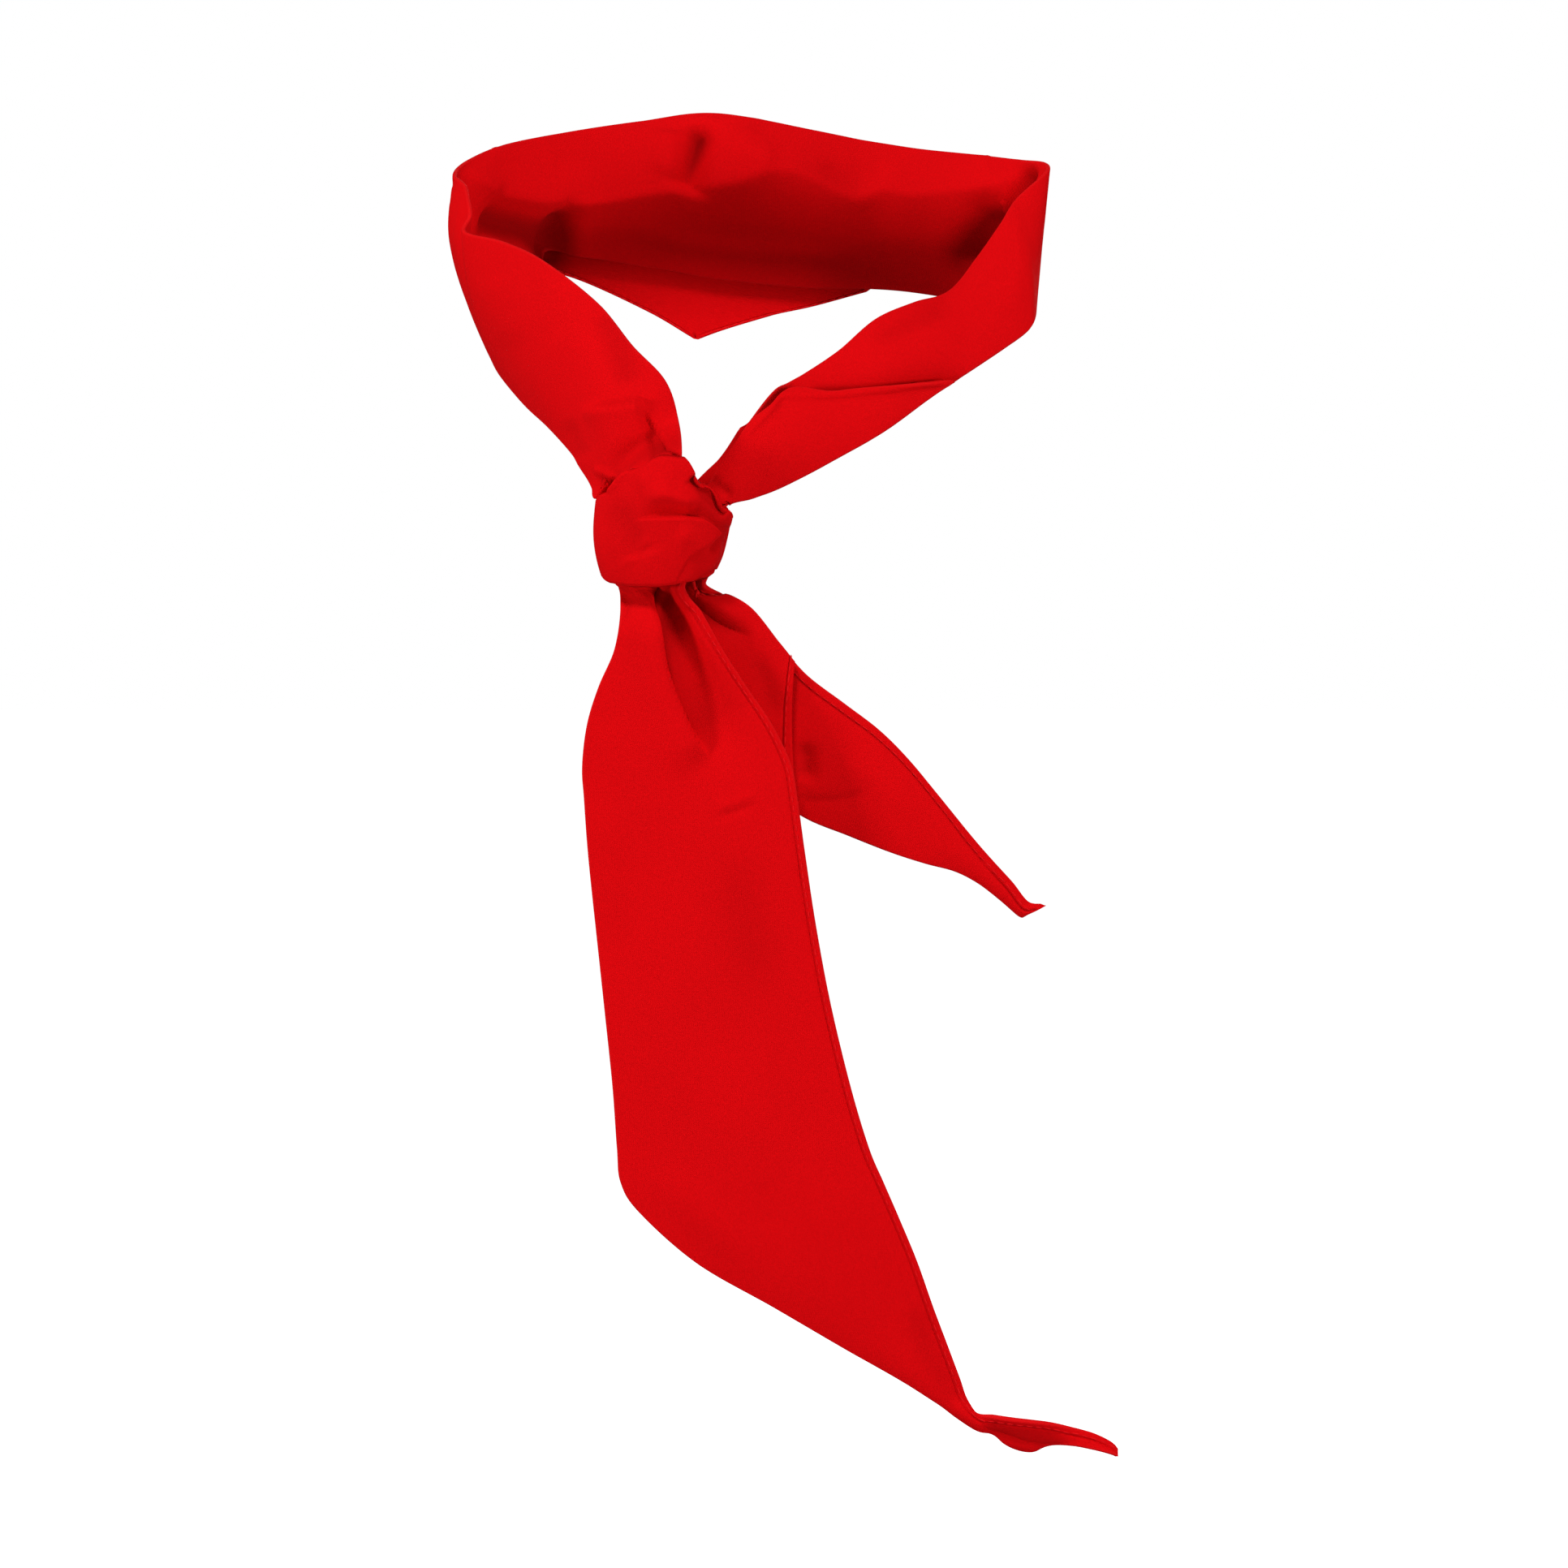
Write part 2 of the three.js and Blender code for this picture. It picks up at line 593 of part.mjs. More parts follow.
// The wrap is a ring of wound cloth with rounded rims.
function knotWrap(name, turnCount, riseCount) {
  const rimThin = 0.55;
  const rimShare = 0.06;
  const profile = [];
  for (let k = 0; k <= riseCount; k++) profile.push({ share: k / riseCount, side: 1 });
  for (let k = riseCount; k >= 0; k--) profile.push({ share: k / riseCount, side: 0 });
  const vertices = [];
  const index = [];
  for (let i = 0; i < turnCount; i++) {
    const turn = mix(-180, 180, i / turnCount);
    const bottom = rimHeight(turn, "bottom");
    const top = rimHeight(turn, "top");
    for (const { share, side } of profile) {
      const height = mix(bottom, top, share);
      const rise = (2 * (height - knotMiddle.z)) / knotHeight;
      const full = Math.sqrt(Math.sin(Math.PI * mix(rimShare, 1 - rimShare, share)));
      const thickness = wrapWall * (mix(rimThin, 1, full) + creaseLift(turn, rise) * full);
      const outside = clothWall / 2 + touchGap + side * thickness;
      const p = bundlePoint(turn, height, outside);
      vertices.push(p.x, p.y, p.z);
    }
  }
  const ring = profile.length;
  for (let i = 0; i < turnCount; i++) {
    const next = (i + 1) % turnCount;
    for (let k = 0; k < ring; k++) {
      const up = (k + 1) % ring;
      const a = i * ring + k;
      const b = next * ring + k;
      const c = next * ring + up;
      const d = i * ring + up;
      index.push(a, b, c, a, c, d);
    }
  }
  return meshOf(name, vertices, index);
}

const neckerchief = new THREE.Group();
neckerchief.name = "neckerchief";
neckerchief.add(
  clothSolid("left_strap", stripOf(loopSurface, 0, leftCorner - leftCut), 26, 7),
  clothSolid(
    "back_band",
    stripOf(loopSurface, leftCorner + leftCut, rightCorner - rightCut),
    40,
    9,
  ),
  clothSolid("right_strap", stripOf(loopSurface, rightCorner + rightCut, loopEnd), 30, 7),
  clothSolid(
    "right_strap_fold",
    stripOf(rightFoldLayer, rightFoldStart, loopEnd, () => rightFoldLow, foldTop),
    20,
    6,
  ),
  clothSolid("back_point", cornerPoint, 15, 20),
  knotWrap("knot_wrap", 42, 9),
  clothSolid(
    "long_tail",
    stripOf(longTailSurface, 0, longTailSections.length - 1),
    48,
    12,
  ),
  clothSolid(
    "short_tail",
    stripOf(shortTailSurface, 0, shortTailSections.length - 1),
    36,
    8,
  ),
  clothSolid("short_tail_fold", shortFoldPoint, 14, 8),
);

export default neckerchief;
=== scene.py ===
# %% [markdown]
# # A tied neckerchief
#
# The object is one triangle of thin red cotton, folded to a band, laid round the neck
# and tied at the front. One end hangs long, the other short, and the corner of the
# triangle hangs at the nape. Everything here is a cloth surface, so this lesson makes
# smooth surfaces from a few sections, presses creases into them, gives them a wall
# with soft folded edges, and finishes them with a woven material and sewn hems.

# %% Load the frame
import math
import bpy
import numpy as np
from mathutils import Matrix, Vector


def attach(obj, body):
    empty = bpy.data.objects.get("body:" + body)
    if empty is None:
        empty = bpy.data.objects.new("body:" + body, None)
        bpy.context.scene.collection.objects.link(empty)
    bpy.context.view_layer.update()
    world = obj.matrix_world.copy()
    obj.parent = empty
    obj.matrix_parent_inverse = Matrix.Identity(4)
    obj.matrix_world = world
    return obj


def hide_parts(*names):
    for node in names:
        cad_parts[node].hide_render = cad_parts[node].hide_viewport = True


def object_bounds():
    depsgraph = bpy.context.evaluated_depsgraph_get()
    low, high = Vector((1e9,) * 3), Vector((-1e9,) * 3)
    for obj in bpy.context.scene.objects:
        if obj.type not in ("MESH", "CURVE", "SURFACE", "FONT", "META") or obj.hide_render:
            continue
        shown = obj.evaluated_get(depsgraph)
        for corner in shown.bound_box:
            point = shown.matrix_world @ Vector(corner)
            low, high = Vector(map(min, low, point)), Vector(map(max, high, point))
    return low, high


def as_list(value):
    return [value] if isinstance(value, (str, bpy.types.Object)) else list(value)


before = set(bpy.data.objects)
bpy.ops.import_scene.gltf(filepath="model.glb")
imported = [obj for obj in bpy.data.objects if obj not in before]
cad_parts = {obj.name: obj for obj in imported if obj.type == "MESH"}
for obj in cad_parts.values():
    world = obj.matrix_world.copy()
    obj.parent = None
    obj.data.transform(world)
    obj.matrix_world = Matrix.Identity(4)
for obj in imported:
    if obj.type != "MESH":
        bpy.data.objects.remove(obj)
cad_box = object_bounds()
print("frame:", sorted(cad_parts))

# %% [markdown]
# ## Named sizes
#
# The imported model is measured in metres. The sizes below are the ones that the cloth
# is laid out by: the loop round the neck, the knot and the two tails. Tables further
# down hold only shares of them, so a size can change without a new table.

# %% Sizes of the cloth, the loop, the knot and the tails
MM = 0.001
cloth_wall = 1.3 * MM
touch_gap = 0.35 * MM
loop_half_width = 92 * MM
loop_depth = 122 * MM
band_width = 62 * MM
knot_side = -25 * MM
knot_drop = 91 * MM
knot_width = 42 * MM
knot_height = 39.5 * MM
knot_depth = 30 * MM
knot_lean = 1.6 * MM
wrap_wall = 2.4 * MM
point_drop = 20.3 * MM
long_tail_width = 68 * MM
long_tail_length = 250 * MM
long_tail_forward = 5 * MM
pleat_depth = 6 * MM
twist_length = 44 * MM
twist_width = 10 * MM
short_tail_spread = 114 * MM
short_tail_length = 101 * MM
short_tail_back = 4.6 * MM
layer_step = 1.95 * MM
lap_slack = 0.5 * MM
bundle_wall = 1.6 * MM
knot_middle = np.array([knot_side, -loop_depth, -knot_drop])
print("knot middle", knot_middle)

# %% [markdown]
# ## The camera
#
# The picture was taken from straight in front and a little above, from far away with a
# long lens, so the camera comes first. The creases of the cloth are placed where the
# picture shows them, so the same camera also tells where a point of the cloth is seen
# in the picture.

# %% Camera
picture_size = 1932
lens = 155.0
sensor = 36.0
camera_tilt = math.radians(6.0)
camera_place = Vector((10.69 * MM, -2127.44 * MM, 40.43 * MM))
camera_data = bpy.data.cameras.new("camera")
camera_data.lens = lens
camera_data.sensor_width = sensor
camera_data.clip_end = 20
camera = bpy.data.objects.new("camera", camera_data)
camera.location = camera_place
camera.rotation_euler = (math.pi / 2 - camera_tilt, 0, 0)
bpy.context.scene.collection.objects.link(camera)
bpy.context.scene.camera = camera


def seen(points):
    """Where the camera sees points, in pixels from the picture's upper left corner."""
    away = points - np.array(camera_place)
    depth = away[..., 1] * math.cos(camera_tilt) - away[..., 2] * math.sin(camera_tilt)
    up = away[..., 1] * math.sin(camera_tilt) + away[..., 2] * math.cos(camera_tilt)
    scale = picture_size * lens / sensor / depth
    middle = picture_size / 2
    return np.stack([middle + scale * away[..., 0], middle - scale * up], axis=-1)


print("origin is seen at", seen(np.zeros(3)).round(1))

# %% [markdown]
# ## Surfaces through sections
#
# A piece of cloth is described by sections: lines from its low edge to its top edge,
# which may bow out between them. A smooth curve through the same place of every
# section gives the surface. numpy works out a whole grid of points at once.

# %% Smooth curves and tables


def mix(a, b, f):
    return a + (b - a) * f


def ease(x, low, high):
    f = np.clip((x - low) / (high - low), 0, 1)
    return f * f * (3 - 2 * f)


def smooth_through(rows, t):
    """A smooth line through equally spaced rows of values, at every t."""
    rows = np.asarray(rows, float)
    last = len(rows) - 1
    i = np.clip(np.floor(t).astype(int), 0, last - 1)
    slope_in = (rows[i + 1] - rows[np.maximum(i - 1, 0)]) / np.where(i > 0, 2, 1)[..., None]
    ahead = np.minimum(i + 2, last)
    slope_out = (rows[ahead] - rows[i]) / np.where(i + 2 <= last, 2, 1)[..., None]
    f = (t - i)[..., None]
    curve = mix(rows[i], rows[i + 1], f * f * (3 - 2 * f))
    curve = curve + slope_in * f * (1 - f) ** 2 - slope_out * f * f * (1 - f)
    before = rows[i] + slope_in * f
    after = rows[i + 1] + slope_out * (f - 1)
    return np.where(f < 0, before, np.where(f > 1, after, curve))


def table_value(places, values, at):
    """A table's value between its rows, easing from each row into the next."""
    places = np.asarray(places, float)
    values = np.asarray(values, float)
    i = np.clip(np.searchsorted(places, at) - 1, 0, len(places) - 2)
    return mix(values[i], values[i + 1], ease(at, places[i], places[i + 1]))


def unit(v):
    return v / np.maximum(np.linalg.norm(v, axis=-1, keepdims=True), 1e-12)


print("a quarter of the way eases to", float(ease(0.25, 0, 1)))

# %% Surfaces


def surface_through(sections):
    """sections: rows of low edge, top edge (3 numbers each), bow and crest."""
    sections = np.asarray(sections, float)
    step = 0.05

    def surface(along, across):
        row = smooth_through(sections, along)
        low, top, bow, crest = row[..., 0:3], row[..., 3:6], row[..., 6:7], row[..., 7:8]
        ahead = smooth_through(sections, along + step)
        behind = smooth_through(sections, along - step)
        forward = (ahead[..., 0:3] + ahead[..., 3:6]) - (behind[..., 0:3] + behind[..., 3:6])
        out = unit(np.cross(top - low, forward))
        s = across[..., None]
        reach = np.where(s < crest, crest + 1, 1 - crest)
        bulge = 1 - ((s - crest) / reach) ** 2
        return mix(low, top, (s + 1) / 2) + out * bow * bulge

    return surface


def layer_over(surface, offset):
    """A second layer of the same cloth, so far outside a surface."""
    step = 0.02

    def layer(along, across):
        down = surface(along + step, across) - surface(along - step, across)
        over = surface(along, across + step) - surface(along, across - step)
        return surface(along, across) + unit(np.cross(over, down)) * offset

    return layer


# %% [markdown]
# ## The knot's core
#
# All the cloth passes through the knot as one bundle, an oval tube that narrows to its
# ends. The wrap goes round it. The straps and tails start on the bundle, leave it at
# the wrap's rim, and ease into their free form.

# %% The rims of the wrap and the bundle inside it
rim_turns = (-180, -135, -95, -65, -35, -5, 15, 35, 65, 95, 135, 180)
rim_heights = {
    "top": (0.6, 0.38, 0.32, 0.42, 0.78, 1, 0.97, 0.58, 0.2, 0.06, 0.3, 0.6),
    "bottom": (-0.8, -0.85, -0.9, -0.97, -1, -1, -0.97, -0.93, -0.9, -0.85, -0.8, -0.8),
}
bundle_half_width = knot_width / 2 - wrap_wall - touch_gap - bundle_wall / 2
bundle_half_depth = knot_depth / 2 - wrap_wall - touch_gap - bundle_wall / 2
narrow_below = 0.28
narrow_above = 0.12
leaving_rise = 0.12 * knot_height


def rim_height(turn, rim):
    share = table_value(rim_turns, rim_heights[rim], turn)
    return knot_middle[2] + share * knot_height / 2


def bundle_point(turn, height, outside=0.0):
    rise = np.clip(2 * (height - knot_middle[2]) / knot_height, -1, 1)
    size = 1 - np.where(rise < 0, narrow_below, narrow_above) * rise * rise
    angle = np.radians(turn)
    x = knot_middle[0] + knot_lean * rise
    x = x + (bundle_half_width * size + outside) * np.sin(angle)
    y = knot_middle[1] - (bundle_half_depth * size + outside) * np.cos(angle)
    return np.stack(np.broadcast_arrays(x, y, height), axis=-1)


def leaving_knot(free, turns, rim):
    """A surface on the bundle up to the rim, at 1, that is free from 2 on."""
    away = 1 if rim == "top" else -1

    def surface(along, across):
        turn = mix(turns[0], turns[1], (across + 1) / 2)
        start = knot_middle[2] + away * touch_gap / 2
        mouth = rim_height(turn, rim) + away * touch_gap
        beyond = away * leaving_rise * np.maximum(along - 1, 0)
        height = mix(start, mouth, np.clip(along, 0, 1)) + beyond
        held = bundle_point(turn, height)
        return mix(held, free(along, across), ease(along, 1, 2)[..., None])

    return surface


def knot_sections(turns, rim, bow):
    """The sections at the knot's middle and rim, which set the free form's start."""
    rows = []
    for step in (0, 1):
        edges = []
        for turn in turns:
            height = mix(knot_middle[2], rim_height(np.array(turn), rim), step)
            edges.append(bundle_point(np.array(turn), height))
        rows.append([*edges[0], *edges[1], bow, 0])
    return rows


# Turns round the bundle, in degrees from the front, at a piece's low and top edge.
left_strap_turns = (-125, 15)
right_strap_turns = (94, 152)
long_tail_turns = (-112, 38)
short_tail_turns = (168, 88)
print("bundle", round(bundle_half_width / MM, 1), "x", round(bundle_half_depth / MM, 1), "mm")

# %% [markdown]
# ## The band round the neck
#
# The band is one strip, so it is one surface here too: up out of the knot on the left,
# round the corner, across the nape with its inside towards us, round the other corner
# and back down. Each row is a section: its middle, half its reach in X, Y and Z, and
# how far it bows, as shares of the loop's and the band's sizes.

# %% Sections of the band
# Columns: toward the knot, forward, drop, reach in x, y, z, bow.
left_strap_rows = (
    (0.88, 0.97, 0.81, 0.2, 0.0, 0.19, 0.07),
    (0.84, 0.94, 0.73, 0.18, -0.01, 0.26, 0.08),
    (0.75, 0.9, 0.65, 0.12, -0.02, 0.31, 0.08),
    (0.64, 0.84, 0.55, 0.07, -0.02, 0.36, 0.08),
    (0.47, 0.77, 0.445, -0.01, -0.02, 0.405, 0.07),
    (0.32, 0.68, 0.38, -0.05, -0.03, 0.4, 0.05),
    (0.17, 0.57, 0.32, -0.09, -0.035, 0.36, 0.04),
)
right_strap_rows = (
    (0.07, 0.57, 0.17, -0.04, 0.14, 0.29, 0.03),
    (0.1, 0.62, 0.23, -0.06, 0.15, 0.26, 0.04),
    (0.16, 0.67, 0.31, -0.06, 0.15, 0.22, 0.05),
    (0.24, 0.73, 0.4, -0.05, 0.13, 0.19, 0.05),
    (0.35, 0.79, 0.47, -0.02, 0.12, 0.24, 0.06),
    (0.46, 0.84, 0.55, 0.0, 0.11, 0.28, 0.06),
    (0.58, 0.88, 0.65, 0.05, 0.09, 0.28, 0.06),
    (0.68, 0.91, 0.72, 0.06, 0.07, 0.27, 0.06),
    (0.75, 0.93, 0.757, 0.05, 0.06, 0.26, 0.05),
    (0.81, 0.95, 0.82, 0.01, 0.05, 0.185, 0.04),
    (0.85, 0.96, 0.885, -0.02, 0.04, 0.11, 0.03),
)
# Columns: side, forward, rise, reach in x, y, z, bow. The first four turn the corner.
nape_rows = (
    (-0.886, 0.516, -0.38, -0.05, -0.05, 0.365, 0.06),
    (-0.915, 0.463, -0.28, -0.06, -0.04, 0.395, 0.08),
    (-0.929, 0.39, -0.22, -0.08, -0.025, 0.385, 0.08),
    (-0.889, 0.29, -0.155, -0.08, -0.025, 0.385, 0.02),
    (-0.79, 0.16, -0.07, -0.06, -0.04, 0.37, -0.04),
    (-0.62, 0.03, 0.04, 0.01, -0.01, 0.32, -0.09),
    (-0.36, -0.05, 0.04, -0.02, -0.02, 0.37, -0.13),
    (-0.12, -0.075, 0.03, 0.0, -0.02, 0.42, -0.15),
    (0.21, -0.07, -0.04, 0.0, -0.02, 0.4, -0.15),
    (0.51, -0.02, -0.09, 0.0, -0.02, 0.37, -0.13),
    (0.76, 0.11, -0.13, 0.0, 0.0, 0.37, -0.09),
    (0.91, 0.27, -0.14, 0.0, 0.03, 0.37, -0.03),
    (0.97, 0.45, -0.15, 0.04, 0.07, 0.35, 0.0),
)
nape_crest = 0.2
left_knot_bow = 0.1
right_knot_bow = 0.04


def section_around(centre, half, bow, crest):
    half = np.array(half) * band_width
    return [*(centre - half), *(centre + half), bow * band_width, crest]


def strap_section(row, corner_side):
    toward, forward, drop, x, y, z, bow = row
    centre = np.array(
        [
            mix(corner_side * loop_half_width, knot_middle[0], toward),
            -forward * loop_depth,
            -drop * knot_drop,
        ]
    )
    return section_around(centre, (x, y, z), bow, 0)


def nape_section(row):
    side, forward, rise, x, y, z, bow = row
    centre = np.array([side * loop_half_width, -forward * loop_depth, rise * band_width])
    return section_around(centre, (x, y, z), bow, nape_crest)


loop_sections = [
    *knot_sections(left_strap_turns, "top", left_knot_bow * band_width),
    *[strap_section(row, -1) for row in left_strap_rows],
    *[nape_section(row) for row in nape_rows],
    *[strap_section(row, 1) for row in right_strap_rows],
    *knot_sections(right_strap_turns, "top", right_knot_bow * band_width)[::-1],
]
loop_end = len(loop_sections) - 1
left_corner = 2 + len(left_strap_rows)
nape_start = left_corner + 2
right_corner = left_corner + len(nape_rows) - 1
loop_free = surface_through(loop_sections)
left_knot_side = leaving_knot(loop_free, left_strap_turns, "top")
right_knot_side = leaving_knot(
    lambda along, across: loop_free(loop_end - along, across), right_strap_turns, "top"
)


def loop_surface(along, across):
    """The whole band from inside the knot, round the neck and back into it."""
    near_left = left_knot_side(along, across)
    near_right = right_knot_side(loop_end - along, across)
    middle = loop_free(along, across)
    point = np.where((along < 2)[..., None], near_left, middle)
    return np.where((along > loop_end - 2)[..., None], near_right, point)


print("band sections", len(loop_sections))

# %% [markdown]
# ## Creases
#
# Real cloth is never smooth: it has soft folds where it is gathered, sharp ones where
# it was pressed, and lips where one fold lies over the next. A crease here is a line
# of a few places in the picture, with a width, a height towards the viewer and a
# shape. Every point of the cloth finds its distance to the line as the camera sees it,
# and moves along the cloth's normal. So each crease lands where the picture shows it,
# but it is real shape, seen from any side. Cloth simulation could fold a piece too, but
# it would not put a fold where this knot was pulled.
# How deep a crease sinks the cloth is kept too, and darkens its colour as painted shade.

# %% Crease tools


def line_through(places, count=48):
    """A smooth line through given places in the picture."""
    places = np.asarray(places, float)
    return smooth_through(places, np.linspace(0, len(places) - 1, count))


def distance_to(line, where):
    """Distance in pixels (positive right of the line), and share of the way along."""
    best = np.full(where.shape[:-1], np.inf)
    side = np.zeros_like(best)
    share = np.zeros_like(best)
    legs = len(line) - 1
    for k in range(legs):
        a, b = line[k], line[k + 1]
        leg = b - a
        f = np.clip(((where - a) @ leg) / (leg @ leg), 0, 1)
        off = where - a - f[..., None] * leg
        gap = np.hypot(off[..., 0], off[..., 1])
        nearer = gap < best
        turn = leg[0] * off[..., 1] - leg[1] * off[..., 0]
        best = np.where(nearer, gap, best)
        side = np.where(nearer, np.sign(turn), side)
        share = np.where(nearer, (k + f) / legs, share)
    return best * side, share


def crease(line, width, height, shape="soft", fade=(0.2, 0.2), grow=1.0, edge=2.5):
    """A crease: its line and width in picture pixels, and its height in millimetres.

    The width may be a pair, for the left and the right side of the line, and grows by
    a factor on the way along. A lip stands only on the right side, with a steep edge.
    """
    left, right = width if isinstance(width, tuple) else (width, width)
    return {
        "line": line_through(line),
        "left": left,
        "right": right,
        "height": height * MM,
        "shape": shape,
        "fade": fade,
        "grow": grow,
        "edge": edge,
    }


def crease_height(pressed, where):
    """How far a crease lifts the cloth, in metres, at places in the picture."""
    gap, share = distance_to(pressed["line"], where)
    wide = np.where(gap > 0, pressed["right"], pressed["left"]) * mix(1, pressed["grow"], share)
    if pressed["shape"] == "soft":
        lift = np.exp(-((gap / wide) ** 2))
    elif pressed["shape"] == "sharp":
        lift = np.exp(-np.abs(gap / wide))
    else:
        edge = pressed["edge"]
        lift = np.exp(-np.maximum(gap, 0) / wide) * ease(gap, -edge, edge)
    start, end = pressed["fade"]
    if start > 0:
        lift = lift * ease(share, 0, start)
    if end > 0:
        lift = lift * ease(1 - share, 0, end)
    return pressed["height"] * lift


def press(grid, normals, creases, toward, deepest=-12 * MM, ahead=0.0):
    """Moves a grid along its normals by the creases on it, and keeps how deep it sinks.

    The depth is kept with the sign of the face that sinks, and paints shade into that
    face's colour. A layer behind another one follows the creases that the layer so far
    ahead of it has.
    """
    where = seen(grid["points"] + normals * ahead)
    lift = sum(crease_height(pressed, where) for pressed in creases.values())
    lift = np.maximum(lift, deepest)
    grid["points"] = grid["points"] + normals * (toward * lift)[..., None]
    # The depth is kept for the painted shade in deep folds.
    grid["sunk"] = grid["sunk"] + np.maximum(-lift, 0) * toward


print("a smooth line has", len(line_through([(0, 0), (1, 1)])), "points")

# %% [markdown]
# ## From surface to cloth
#
# A surface has no thickness, so each piece becomes a flat tube: rows along the cloth,
# and round every row a ring that goes over the front and comes back behind. The wall
# thins to nothing over its last 0.65 mm, half its thickness, which rounds a folded edge
# as a pressed fold is. A hem is folded twice, so the wall is thicker there, up to the line
# of stitches. The rows and columns are evenly spaced in millimetres, and the columns
# lie closer near the edges.

# %% Grid of a cloth piece
row_spacing = 1.0 * MM
column_spacing = 1.2 * MM
fine_rows = 1200
fine_columns = 60
edge_steps = np.array([0, 0.08, 0.25, 0.5, 0.8, 1.2, 1.7, 2.2, 2.5, 2.9, 3.5]) * MM


def normals_of(grid):
    """Normals of a grid of points, by the steps between its rows and columns."""
    along = np.gradient(grid, axis=0)
    across = np.gradient(grid, axis=1)
    return unit(np.cross(across, along))


def edge_at(share):
    """An edge that stays at the same share across a surface, all the way along."""
    return lambda along: share + 0 * along


def even_rows(surface, start, end, low, top, spacing):
    """Values along a surface that are evenly spaced in metres."""
    fine = np.linspace(start, end, fine_rows)
    middle = (low(fine) + top(fine)) / 2
    points = surface(fine, middle)
    way = np.concatenate([[0], np.cumsum(np.linalg.norm(np.diff(points, axis=0), axis=1))])
    count = max(int(way[-1] / spacing), 12)
    return np.interp(np.linspace(0, way[-1], count + 1), way, fine), way[-1]


def edge_columns(width, widest):
    """Distances across a row: close together at both edges and even between them."""
    squeeze = min(1.0, 0.36 * width / edge_steps[-1])
    near = edge_steps * squeeze
    inner = np.linspace(near[-1], width - near[-1], max(int(widest / column_spacing), 6))
    return np.concatenate([near[:-1], inner, (width - near[:-1])[::-1]])


def cloth_grid(surface, start, end, low=edge_at(-1), top=edge_at(1), spacing=row_spacing):
    """A grid of points on a surface, with each point's distances across and along."""
    along, length = even_rows(surface, start, end, low, top, spacing)
    fine = np.linspace(0, 1, fine_columns)
    a = np.repeat(along[:, None], fine_columns, axis=1)
    b = mix(low(along)[:, None], top(along)[:, None], fine[None, :])
    rough = surface(a, b)
    ways = np.cumsum(np.linalg.norm(np.diff(rough, axis=1), axis=2), axis=1)
    ways = np.concatenate([np.zeros((len(along), 1)), ways], axis=1)
    widths = ways[:, -1]
    columns = [edge_columns(w, widths.max()) for w in widths]
    across = [np.interp(c, w, fine) for c, w in zip(columns, ways)]
    share = np.array(across)
    b = mix(low(along)[:, None], top(along)[:, None], share)
    a = np.repeat(along[:, None], share.shape[1], axis=1)
    return {
        "points": surface(a, b),
        # How deep each point sinks and how dark its seam is: both paint shade into the colour.
        "sunk": np.zeros(a.shape),
        "seam": np.zeros(a.shape),
        "along": a,
        "across": np.array(columns),
        "width": widths,
        "way": np.linspace(0, length, len(along)),
    }


print("columns across 60 mm of cloth:", len(edge_columns(60 * MM, 60 * MM)))

# %% Wall, edges and hems
hem_extra = 0.5 * MM
seam_dip = 0.7 * MM
seam_width = 0.32 * MM
# Painted shade along a seam, given as a depth of fold; the second is for the darker seams of the short
# tail.
seam_shade_depth = 0.9 * MM
deep_seam_shade_depth = 2.4 * MM
tail_hem = 2.1 * MM
short_hem = 2.7 * MM
strip_hem = 3.3 * MM


def edge_distances(grid):
    """Distances of a grid's points to its four edges, by name."""
    way = grid["way"][:, None] + 0 * grid["across"]
    return {
        "low": grid["across"],
        "top": grid["width"][:, None] - grid["across"],
        "start": way,
        "end": way[-1] - way,
    }


def wall_halves(grid, hems, seam_shade_depth):
    """Half the wall's thickness at every point of a grid, with hems of given widths."""
    distances = edge_distances(grid)
    half = np.full(grid["across"].shape, cloth_wall / 2)
    for side, width in hems.items():
        hem = 1 - ease(distances[side], width, width + seam_width)
        seam = np.exp(-(((distances[side] - width - seam_width) / seam_width) ** 2))
        half = half + hem_extra / 2 * hem - seam_dip / 2 * seam
        # The seam is painted darker too: painted shade along the line of stitches, given as a depth.
        grid["seam"] = grid["seam"] + seam_shade_depth * seam
    radius = cloth_wall / 2
    f = np.clip(np.minimum.reduce(list(distances.values())) / radius, 0, 1)
    return half * np.sqrt(np.maximum(1 - (1 - f) ** 2, 0))


print("hems", [round(width / MM, 1) for width in (tail_hem, short_hem, strip_hem)], "mm wide")

# %% A closed flat tube of cloth


def there_and_back(front, back):
    """Rings that go over the front and come back behind, meeting at both edges."""
    return np.concatenate([front, back[:, -2:0:-1]], axis=1)


def tube_faces(rows, columns):
    """The faces between rings of points, and a cap of strips at each end."""
    count = 2 * columns - 2
    index = np.arange(rows * count).reshape(rows, count)
    here, there = index[:-1], index[1:]
    quads = np.stack([here, np.roll(here, -1, 1), np.roll(there, -1, 1), there], -1)
    faces = quads.reshape(-1, 4).tolist()
    for row, flip in ((index[0], True), (index[-1], False)):
        for j in range(columns - 1):
            cap = [row[j], row[j + 1], row[count - j - 1], row[(count - j) % count]]
            cap = list(dict.fromkeys(int(v) for v in cap))
            faces.append(cap[::-1] if flip else cap)
    return faces


